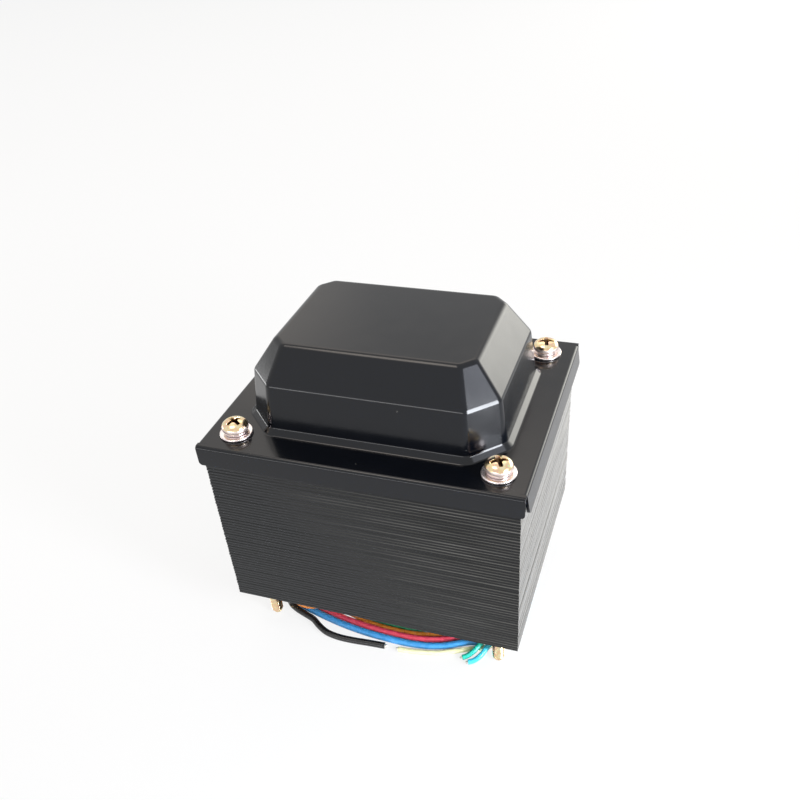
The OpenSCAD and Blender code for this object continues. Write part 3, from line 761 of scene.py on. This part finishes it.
# The recess's slots reach out to RECESS_L, and their floors slope over that share of it. Its walls
# slope over RECESS_WALL, and those of its pit over PIT_WALL.
RECESS_L = 2.6
RECESS_SLOPE = 0.6
RECESS_HALF_W = 0.5
RECESS_DEPTH = 1.7
RECESS_WALL = 0.12
PIT_R = 1.15
PIT_WALL = 0.5
# Washers: radius of the bore and of the rounded edges. The spring washer's split and where it lies.
WASHER_BORE_R = 2.15
WASHER_EDGE_R = 0.3
SPLIT = 0.6
SPLIT_AT = math.radians(25)
# Nuts: radius of the bore, width and depth of the countersink, and of the chamfer on the corners.
NUT_BORE_R = 2.03
COUNTERSINK_W = 0.35
COUNTERSINK_H = 0.3
NUT_FACE = 0.96
NUT_CHAMFER_H = 0.4
# How far each head's cross is turned, in degrees.
HEAD_TURNS = {"front_left": 28, "front_right": 62, "rear_left": 10, "rear_right": 75}


def turned_solid(section, columns):
    """Surface of revolution of a section of radii and heights, with its angle for further shaping."""
    angle = np.linspace(0, 2 * math.pi, columns, endpoint=False)[None, :]
    radius = np.broadcast_to(section[:, :1], (len(section), columns)).copy()
    height = np.broadcast_to(section[:, 1:], (len(section), columns)).copy()
    return radius, height, np.broadcast_to(angle, radius.shape)


def placed(radius, height, angle, centre):
    """Points of a surface of revolution round an upright line through centre."""
    x = centre[0] + radius * np.cos(angle)
    y = centre[1] + radius * np.sin(angle)
    return np.dstack([x, y, height]).reshape(-1, 3)


def cross_recess(x, y):
    """Depth of a cross recess: two slots at right angles whose floors slope down to a pit between."""
    depth = 0
    for along, across in ((x, y), (y, x)):
        floor = np.clip((RECESS_L - np.abs(along)) / (RECESS_SLOPE * RECESS_L), 0, 1)
        wall = np.clip((RECESS_HALF_W + RECESS_WALL / 2 - np.abs(across)) / RECESS_WALL, 0, 1)
        depth = np.maximum(depth, RECESS_DEPTH * floor * wall)
    pit = np.clip((PIT_R - np.hypot(x, y)) / PIT_WALL, 0, 1)
    return np.maximum(depth, RECESS_DEPTH * pit)


def add_bolt(corner, zinc):
    """Pan head bolt turned from one section: chamfered tip, thread, shank and crowned head.

    The thread is a wave along the bolt that moves on by one pitch in a turn, and the head's crown is
    lowered by the cross recess. The attribute depth is 1 on the recess's floor, where the material
    paints shade, and -1 at the rim.
    """
    low, high = box_mm("bolt_" + corner)
    centre = bolt_centre(corner)
    tip = low[2]
    top = high[2]
    head_r = (high[0] - low[0]) / 2
    seat = box_mm("spring_washer_" + corner)[1][2]
    thread_end = box_mm("lower_washer_" + corner)[1][2]
    thread_z = np.arange(tip + CHAMFER, thread_end, THREAD_PITCH / 8)
    side = np.array([(SHANK_R, seat), (head_r - 0.4, seat), (head_r - 0.12, seat + 0.12),
                     (head_r, seat + 0.45)])
    crown = head_r * np.sin(np.linspace(0.5 * math.pi, 0, 70))
    crown_z = top - CROWN_H + CROWN_H * (1 - (crown / head_r)**CROWN_POWER)**(1 / CROWN_POWER)
    section = np.concatenate([
        [(0, tip), (THREAD_R - 0.75, tip), (THREAD_R - 0.55, tip + 0.05)],
        np.column_stack([np.full(len(thread_z), THREAD_R), thread_z]),
        [(SHANK_R, thread_end + 0.3), (SHANK_R, 0.5 * (seat + thread_end))],
        side, np.column_stack([crown, crown_z])])
    radius, height, angle = turned_solid(section, BOLT_COLUMNS)
    wave = np.abs(2 * ((height / THREAD_PITCH - angle / (2 * math.pi)) % 1) - 1)
    threaded = (section[:, 0] == THREAD_R)[:, None]
    past_tip = (height - tip - CHAMFER) / RUN_IN
    fade = np.clip(past_tip, 0, 1) * np.clip((thread_end - height) / RUN_OUT, 0, 1)
    taper = TIP_TAPER * np.clip(1 - past_tip, 0, 1)
    radius = np.where(threaded, radius - taper - THREAD_DEPTH * wave * fade, radius)
    cross = angle + math.radians(HEAD_TURNS[corner])
    recess = cross_recess(radius * np.cos(cross), radius * np.sin(cross))
    number = np.arange(len(section))[:, None]
    on_crown = number >= len(section) - len(crown)
    on_head = number >= len(section) - len(crown) - len(side)
    height = np.where(on_crown, height - recess, height)
    points = placed(radius, height, angle, centre)
    faces = grid_faces(len(section), BOLT_COLUMNS, closed_cols=True)
    at_rim = on_head * np.clip((radius - RIM_R) / (head_r - RIM_R), 0, 1)
    add_piece("bolt_turned_" + corner, points, faces, [zinc], ["bolt_" + corner], "zinc_gold", crease=32,
              depth=on_crown * recess / RECESS_DEPTH - at_rim)


def ring_section(inner, outer, low, high, corner_r):
    """Section of a ring as a closed loop, up its outer side and down its inner one, with round corners."""
    corners = [(inner, low), (outer, low), (outer, high), (inner, high)]
    return filleted(corners, [corner_r] * 4, step=22.5)


def add_washer(kind, corner, zinc):
    """Flat washer as a ring with rounded edges."""
    name = kind + "_" + corner
    low, high = box_mm(name)
    section = ring_section(WASHER_BORE_R, (high[0] - low[0]) / 2, low[2], high[2], WASHER_EDGE_R)
    radius, height, angle = turned_solid(section, RING_COLUMNS)
    faces = grid_faces(len(section), RING_COLUMNS, closed_rows=True, closed_cols=True)
    points = placed(radius, height, angle, bolt_centre(corner))
    add_piece(kind + "_ring_" + corner, points, faces, [zinc], [name], "zinc_bright")


def add_spring_washer(corner, zinc):
    """Split washer: a square section carried round all but a narrow gap, with its two ends closed.

    The attribute depth is 1 at the lower and upper edge, where the ring meets its neighbours, and the
    material paints shade there by it.
    """
    name = "spring_washer_" + corner
    low, high = box_mm(name)
    outer = (high[0] - low[0]) / 2
    section = ring_section(WASHER_BORE_R, outer, low[2], high[2], WASHER_EDGE_R)
    middle = section.mean(0)
    gap = SPLIT / outer
    first = SPLIT_AT + gap / 2
    last = SPLIT_AT - gap / 2 + 2 * math.pi
    angle = np.concatenate([[first], np.linspace(first, last, 72), [last]])
    size = np.ones(len(angle))
    size[[0, -1]] = 0
    radius = middle[0] + (section[:, :1] - middle[0]) * size
    height = middle[1] + (section[:, 1:] - middle[1]) * size
    points = placed(radius, height, np.broadcast_to(angle, radius.shape), bolt_centre(corner))
    faces = grid_faces(len(section), len(angle), closed_rows=True)
    # Painted shade: 1 along the ring's lower and upper edges, where it meets its neighbours.
    painted_crevice_shade = 1.6 * np.abs(2 * (height - low[2]) / (high[2] - low[2]) - 1) - 0.6
    add_piece("spring_ring_" + corner, points, faces, [zinc], [name], "zinc_bright",
              depth=np.clip(painted_crevice_shade, 0, 1))


def add_nut(corner, zinc):
    """Hexagon nut: a ring whose radius is the smaller of the hexagon's and the chamfer cone's."""
    name = "nut_" + corner
    low, high = box_mm(name)
    half_flat = (high[1] - low[1]) / 2
    face = half_flat * NUT_FACE
    full = half_flat / math.cos(math.radians(30)) + 0.05
    rise = np.linspace(0, 1, 7)[:, None]
    lower = (face, low[2]) + rise * (full - face, NUT_CHAMFER_H)
    upper = lower[::-1] * (1, -1) + (0, low[2] + high[2])
    mouth = NUT_BORE_R + COUNTERSINK_W
    section = np.concatenate([[(NUT_BORE_R, low[2] + COUNTERSINK_H), (mouth, low[2])], lower, upper,
                              [(mouth, high[2]), (NUT_BORE_R, high[2] - COUNTERSINK_H)]])
    radius, height, angle = turned_solid(section, RING_COLUMNS)
    hexagon = half_flat / np.cos(angle % (math.pi / 3) - math.pi / 6)
    radius = np.minimum(radius, hexagon)
    faces = grid_faces(len(section), RING_COLUMNS, closed_rows=True, closed_cols=True)
    points = placed(radius, height, angle, bolt_centre(corner))
    add_piece("nut_hexagon_" + corner, points, faces, [zinc], [name], "zinc_gold", crease=25)


# ---------------------------------------------------------------- tape

TAPE_T = 0.5
TAPE_R = 6.5
# The tape is this wide, drifts by its lead as it goes round, and each edge stands up by its step.
TAPE_W = 7.5
TAPE_LEAD = 3.5
TAPE_STEP = 0.07
TAPE_WAVE = 0.05
# Rows of points over the outer face and back through the inner one.
OUTER_ROWS = 61
INNER_ROWS = 9


def add_tape(tape):
    """Tape wrap round the winding: a rounded rectangle carried along Y, in steps where turns overlap.

    The outer face stands lower by a small step at each tape edge and by a slow wave round the coil.
    """
    low, high = box_mm("winding_wrap")
    middle = (low + high) / 2
    half = (high - low) / 2
    along = np.concatenate([np.linspace(-1, 1, OUTER_ROWS), np.linspace(1, -1, INNER_ROWS)]) * half[1]
    outside = np.arange(len(along)) < OUTER_ROWS
    corners = np.array([(half[0], -half[2]), (half[0], half[2]), (-half[0], half[2]), (-half[0], -half[2])])
    around = filleted(corners, [TAPE_R] * 4, step=6)
    more = np.linspace(0, 1, 9)[:-1, None]
    loop = np.concatenate([start + (end - start) * more for start, end in
                           zip(around, np.roll(around, -1, axis=0))])
    turn = np.linspace(0, 2 * math.pi, len(loop), endpoint=False)
    edge = TAPE_STEP * (np.floor((along[:, None] + TAPE_LEAD * np.sin(turn)) / TAPE_W) % 2)
    wave = TAPE_WAVE * (1 + np.sin(5 * turn + along[:, None] / 4))
    depth = np.where(outside[:, None], edge + wave, TAPE_T)
    shrink = 1 - depth[..., None] / np.array((half[0], half[2]))
    rings = loop[None] * shrink
    y = np.broadcast_to(along[:, None], depth.shape)
    points = np.dstack([rings[..., 0] + middle[0], y + middle[1], rings[..., 1] + middle[2]])
    faces = grid_faces(len(along), len(loop), closed_rows=True, closed_cols=True)[:, ::-1]
    add_piece("tape_wrapped", points.reshape(-1, 3), faces, [tape], ["winding_wrap"], "amber_tape",
              crease=40)


# ---------------------------------------------------------------- finishes

def specks(tree, cell, size, share):
    """1 at a few dust specks of that size, 0 elsewhere: some of the cells of a random grid hold one."""
    node = tree.nodes.new("ShaderNodeTexVoronoi")
    node.inputs["Scale"].default_value = 1 / cell
    tree.links.new(place_mm(tree), node.inputs["Vector"])
    apart = tree.nodes.new("ShaderNodeSeparateColor")
    tree.links.new(node.outputs["Color"], apart.inputs["Color"])
    chosen = calculated(tree, "LESS_THAN", apart.outputs["Red"], share)
    near = calculated(tree, "LESS_THAN", node.outputs["Distance"], size / cell / 2)
    return calculated(tree, "MULTIPLY", chosen, near)


def dusty(tree, colour, dust):
    """The colour, with a few grains of dust in it."""
    return blend(tree, specks(tree, 5, 0.3, 0.1), colour, dust)


def plate_streaks(tree, height=1.5):
    """Noise from 0 to 1 in level streaks about that high, which run along the plates."""
    return noise(tree, 1.0, stretch=(40, 40, height))


def own_depth(tree):
    """The attribute depth of the piece's points, by which the zinc materials paint shade in the bolt's
    recess and along the spring washer's edges.
    """
    node = tree.nodes.new("ShaderNodeAttribute")
    node.attribute_name = "depth"
    return node.outputs["Fac"]


def cover_paint():
    """Gloss black enamel with a slight orange peel and a few grains of dust under it."""
    black = (0.001, 0.0017, 0.0036)
    material, tree, shader = new_material("cover_paint", black, 0.16, ior=1.42)
    tree.links.new(dusty(tree, black, (0.3, 0.29, 0.27)), shader.inputs["Base Color"])
    tree.links.new(between(tree, noise(tree, 6), 0.13, 0.19), shader.inputs["Roughness"])
    raised(tree, shader, noise(tree, 0.9), 0.005)
    return material


def painted_light_gradient(tree):
    """1 at the core's lower left and 0 at its upper right: a gradient of painted light and shade, paler
    towards the lower left and darker towards the upper right.
    """
    apart = tree.nodes.new("ShaderNodeSeparateXYZ")
    tree.links.new(place_mm(tree), apart.inputs["Vector"])
    height = calculated(tree, "MULTIPLY", apart.outputs["Z"], 0.7)
    return between(tree, calculated(tree, "ADD", apart.outputs["X"], height), 1, 0, start=10, end=70)


def core_varnish():
    """Dark varnish on punched steel, in streaks along the plates, made greyer towards the core's lower left
    by painted light.
    """
    material, tree, shader = new_material("core_varnish", (0.008, 0.0085, 0.01), 0.3, ior=1.35)
    streak = plate_streaks(tree)
    streaked_base = ramp(tree, streak, [(0.3, (0.001, 0.0013, 0.002)), (0.7, (0.003, 0.0033, 0.004))])
    # Painted light: the varnish colour turns to a paler grey towards the core's lower left.
    colour = blend(tree, painted_light_gradient(tree), streaked_base, (0.018, 0.0185, 0.02))
    tree.links.new(dusty(tree, colour, (0.4, 0.39, 0.36)), shader.inputs["Base Color"])
    tree.links.new(between(tree, streak, 0.22, 0.34), shader.inputs["Roughness"])
    raised(tree, shader, noise(tree, 2.0, detail=1), 0.004)
    return material


def bare_edge():
    """Edges of the plates, where the varnish is thin and the steel shows through."""
    material, tree, shader = new_material("bare_edge", (0.09, 0.09, 0.085), 0.34, metallic=1.0)
    colour = ramp(tree, plate_streaks(tree), [(0.35, (0.05, 0.05, 0.047)), (0.65, (0.15, 0.148, 0.14))])
    # Painted shade: the bare edges darken towards the core's lower left, by the same painted gradient, so
    # their lines show less there.
    tree.links.new(blend(tree, painted_light_gradient(tree), colour, (0.03, 0.031, 0.031)), shader.inputs["Base Color"])
    return material


def end_varnish():
    """Glossy varnish over the steel of the plates' ends."""
    material, tree, shader = new_material("end_varnish", (0.07, 0.07, 0.069), 0.3, metallic=1.0, coat=1.0,
                                          coat_roughness=0.16)
    colour = ramp(tree, plate_streaks(tree, 1.2), [(0.35, (0.03, 0.03, 0.03)), (0.65, (0.1, 0.1, 0.098))])
    tree.links.new(colour, shader.inputs["Base Color"])
    return material


def yellow_zinc():
    """Yellow zinc plating: gold that shifts to pink and green in soft patches, with painted shade in the
    cross recess and a paler rim.
    """
    material, tree, shader = new_material("yellow_zinc", (0.8, 0.68, 0.45), 0.2, metallic=1.0)
    colour = ramp(tree, noise(tree, 1.6), [(0.32, (0.8, 0.72, 0.5)), (0.5, (0.78, 0.6, 0.32)),
                                           (0.6, (0.8, 0.5, 0.38)), (0.7, (0.7, 0.74, 0.42))])
    depth = own_depth(tree)
    # Painted shade: the colour darkens to brown on the recess's floor.
    painted_recess_shade = between(tree, depth, 0, 1, start=0.05, end=0.5)
    rim = between(tree, depth, 1, 0, start=-0.8, end=0)
    colour = blend(tree, rim, blend(tree, painted_recess_shade, colour, (0.09, 0.05, 0.025)), (0.86, 0.74, 0.7))
    tree.links.new(colour, shader.inputs["Base Color"])
    shine = between(tree, noise(tree, 0.7), 0.1, 0.22)
    tree.links.new(calculated(tree, "MAXIMUM", shine, calculated(tree, "MULTIPLY", rim, 0.45)),
                   shader.inputs["Roughness"])
    raised(tree, shader, noise(tree, 0.25), 0.004)
    return material


def bright_zinc():
    """Zinc plated steel with a pink cast and fine grain, and painted shade along the spring washers' lower
    and upper edges.
    """
    material, tree, shader = new_material("bright_zinc", (0.86, 0.8, 0.79), 0.28, metallic=1.0)
    colour = ramp(tree, noise(tree, 1.2), [(0.35, (0.86, 0.81, 0.78)), (0.65, (0.8, 0.68, 0.69))])
    # Painted shade: the colour darkens to a dark brown where the attribute depth is high.
    colour = blend(tree, own_depth(tree), colour, (0.16, 0.08, 0.08))
    tree.links.new(colour, shader.inputs["Base Color"])
    tree.links.new(between(tree, noise(tree, 0.3), 0.2, 0.36), shader.inputs["Roughness"])
    raised(tree, shader, noise(tree, 0.15), 0.004)
    return material


def tinned_copper():
    """Stripped strands, tinned together."""
    material, tree, shader = new_material("tinned_copper", (0.72, 0.7, 0.66), 0.3, metallic=1.0)
    raised(tree, shader, noise(tree, 0.3), 0.02)
    return material


def vinyl(name, colour):
    """Glossy vinyl sleeve whose colour varies a little, with a faintly uneven skin."""
    material, tree, shader = new_material("vinyl_" + name, colour, 0.28)
    darker = tuple(0.92 * c for c in colour)
    lighter = tuple(min(1.0, 1.08 * c + 0.004) for c in colour)
    patch = ramp(tree, noise(tree, 5), [(0.35, darker), (0.65, lighter)])
    tree.links.new(patch, shader.inputs["Base Color"])
    tree.links.new(between(tree, noise(tree, 2), 0.22, 0.32), shader.inputs["Roughness"])
    raised(tree, shader, noise(tree, 0.8, detail=1), 0.004)
    return material


def former_plastic():
    """Moulded black nylon with a fine grain."""
    material, tree, shader = new_material("former_plastic", (0.02, 0.02, 0.022), 0.5)
    tree.links.new(ramp(tree, noise(tree, 3), [(0.3, (0.016, 0.016, 0.018)), (0.7, (0.03, 0.03, 0.031))]),
                   shader.inputs["Base Color"])
    tree.links.new(between(tree, noise(tree, 1.5), 0.42, 0.6), shader.inputs["Roughness"])
    raised(tree, shader, noise(tree, 0.3, detail=3), 0.02)
    return material


def enamelled_copper():
    """Close turns of enamelled copper wire, which run round the coil and lie side by side along Y, with
    painted shade in the grooves between them.
    """
    material, tree, shader = new_material("enamelled_copper", (0.5, 0.2, 0.07), 0.3, metallic=0.6)
    wave = tree.nodes.new("ShaderNodeTexWave")
    wave.bands_direction = "Y"
    wave.inputs["Scale"].default_value = 0.4
    wave.inputs["Distortion"].default_value = 0.3
    tree.links.new(place_mm(tree), wave.inputs["Vector"])
    # Painted shade: the colour darkens in the grooves between turns, where the bump is lowest.
    colour = ramp(tree, wave.outputs["Fac"], [(0.1, (0.16, 0.05, 0.02)), (0.5, (0.5, 0.2, 0.07))])
    tree.links.new(colour, shader.inputs["Base Color"])
    raised(tree, shader, wave.outputs["Fac"], 0.15)
    return material


def amber_tape():
    """Amber polyester tape, darker in soft patches, with small wrinkles."""
    material, tree, shader = new_material("amber_tape", (0.6, 0.34, 0.08), 0.25, coat=0.3)
    patch = noise(tree, 7, detail=3, stretch=(1, 2, 1))
    tree.links.new(ramp(tree, patch, [(0.3, (0.4, 0.2, 0.04)), (0.7, (0.66, 0.4, 0.11))]),
                   shader.inputs["Base Color"])
    tree.links.new(between(tree, patch, 0.18, 0.36), shader.inputs["Roughness"])
    raised(tree, shader, noise(tree, 2.5, detail=3, stretch=(3, 1, 3)), 0.06)
    return material


VINYL = {
    "black": (0.008, 0.008, 0.009), "blue": (0.06, 0.33, 0.72), "red": (1.0, 0.09, 0.15),
    "orange": (0.75, 0.24, 0.03), "green": (0.02, 0.22, 0.09), "cream": (0.86, 0.84, 0.5),
    "teal": (0.03, 0.55, 0.42), "cyan": (0.06, 0.58, 0.8)}


def refinish(node, material):
    """Gives a CAD node that stays in view its material."""
    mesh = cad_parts[node].data
    mesh.materials.clear()
    mesh.materials.append(material)


# ---------------------------------------------------------------- floor and light

FLOOR_R = 6.0
WHITE = 1.0
SOFT_FILL = 0.5
# The rest of what the camera sees of the floor is lit paint, which holds the shadow.
FLOOR_WHITE = 0.82
# Height that the lamps face, in metres.
LAMP_AIM = 0.08


def seen_rays(tree):
    """1 for rays from the camera, off a gloss or through a clear thing, 0 for those that carry light."""
    path = tree.nodes.new("ShaderNodeLightPath")
    seen = calculated(tree, "MAXIMUM", path.outputs["Is Camera Ray"], path.outputs["Is Glossy Ray"])
    return calculated(tree, "MAXIMUM", seen, path.outputs["Is Transmission Ray"])


def add_floor():
    """Pale round floor, which keeps part of the shadow that falls on it."""
    turn = np.linspace(0, 2 * math.pi, 64, endpoint=False)
    points = np.column_stack([FLOOR_R * np.cos(turn), FLOOR_R * np.sin(turn), np.full(64, cad_size[0][2])])
    mesh = bpy.data.meshes.new("floor")
    mesh.from_pydata(points.tolist(), [], [list(range(64))])
    material, tree, shader = new_material("floor", (0.86, 0.86, 0.86), 0.9)
    glow = tree.nodes.new("ShaderNodeEmission")
    glow.inputs["Strength"].default_value = WHITE
    both = tree.nodes.new("ShaderNodeMixShader")
    tree.links.new(calculated(tree, "MULTIPLY", seen_rays(tree), FLOOR_WHITE), both.inputs["Fac"])
    tree.links.new(shader.outputs["BSDF"], both.inputs[1])
    tree.links.new(glow.outputs["Emission"], both.inputs[2])
    tree.links.new(both.outputs["Shader"], tree.nodes["Material Output"].inputs["Surface"])
    mesh.materials.append(material)
    floor = bpy.data.objects.new("floor", mesh)
    bpy.context.scene.collection.objects.link(floor)


def add_world():
    """White all round to look at, and a softer white as the light that fills the shadows."""
    world = bpy.data.worlds.new("studio")
    world.use_nodes = True
    tree = world.node_tree
    background = tree.nodes["Background"]
    background.inputs["Color"].default_value = (1, 1, 1, 1)
    strength = between(tree, seen_rays(tree), SOFT_FILL, WHITE, start=0, end=1)
    tree.links.new(strength, background.inputs["Strength"])
    bpy.context.scene.world = world


def add_softbox(name, azimuth, elevation, distance, width, height, radiance, colour=(1, 1, 1), fade=0.25):
    """Rectangular lamp that faces the transformer, from azimuth round +X towards +Y and elevation.

    Its width and height are degrees as the transformer sees them, its radiance is what a mirror shows
    of its middle. Towards each edge its light fades out.
    """
    turn = math.radians(azimuth)
    rise = math.radians(elevation)
    towards = Vector((math.cos(rise) * math.cos(turn), math.cos(rise) * math.sin(turn), math.sin(rise)))
    lamp = bpy.data.lights.new(name, "AREA")
    lamp.shape = "RECTANGLE"
    lamp.size = 2 * distance * math.tan(math.radians(width) / 2)
    lamp.size_y = 2 * distance * math.tan(math.radians(height) / 2)
    lamp.energy = radiance * math.pi * lamp.size * lamp.size_y
    lamp.color = colour
    lamp.use_nodes = True
    tree = lamp.node_tree
    spot = tree.nodes.new("ShaderNodeNewGeometry")
    sides = tree.nodes.new("ShaderNodeSeparateXYZ")
    tree.links.new(spot.outputs["Parametric"], sides.inputs["Vector"])
    fades = []
    for side in ("X", "Y"):
        out = calculated(tree, "ABSOLUTE", calculated(tree, "SUBTRACT", sides.outputs[side], 0.5), 0)
        fades.append(between(tree, out, 1, 0, start=0.5 - fade, end=0.5))
    tree.links.new(calculated(tree, "MULTIPLY", *fades), tree.nodes["Emission"].inputs["Strength"])
    box = bpy.data.objects.new(name, lamp)
    box.location = Vector((0, 0, LAMP_AIM)) + towards * distance
    box.rotation_euler = towards.to_track_quat("Z", "Y").to_euler()
    box.visible_camera = False
    bpy.context.scene.collection.objects.link(box)


# ---------------------------------------------------------------- the transformer

add_camera()
tinned = tinned_copper()
for colour, diameter, points in LEADS:
    add_lead(colour, diameter, points, vinyl(colour, VINYL[colour]), tinned)

add_bell_cover(cover_paint())
add_core([core_varnish(), bare_edge(), end_varnish()])
gold = yellow_zinc()
bright = bright_zinc()
for corner in CORNERS:
    add_bolt(corner, gold)
    add_nut(corner, gold)
    add_washer("flat_washer", corner, bright)
    add_washer("lower_washer", corner, bright)
    add_spring_washer(corner, bright)
add_tape(amber_tape())
refinish("coil_former", former_plastic())
refinish("winding", enamelled_copper())

add_floor()
add_world()
add_softbox("rear_right", 58, 11, 1.2, 60, 44, 6.0, (1, 0.98, 0.9), fade=0.4)
add_softbox("front_right", -26, 5, 0.32, 17, 42, 32, (0.9, 0.94, 1), fade=0.08)
add_softbox("front_right_high", -12, 33, 1.2, 26, 26, 8, (0.84, 0.88, 1), fade=0.5)
add_softbox("left", 177, -4, 0.6, 24, 9, 9)
add_softbox("front_low", -105, 4, 1.2, 60, 8, 7)
add_softbox("rear_high", 112, 47, 1.2, 64, 26, 1.3, (1, 0.87, 0.74), fade=0.35)
add_softbox("rear_left", 124, 27, 1.2, 20, 20, 1, (1, 0.87, 0.74), fade=0.5)
add_softbox("overhead", -160, 72, 1.0, 30, 24, 5, (1, 0.9, 0.8))

bpy.context.scene.view_settings.view_transform = "Standard"
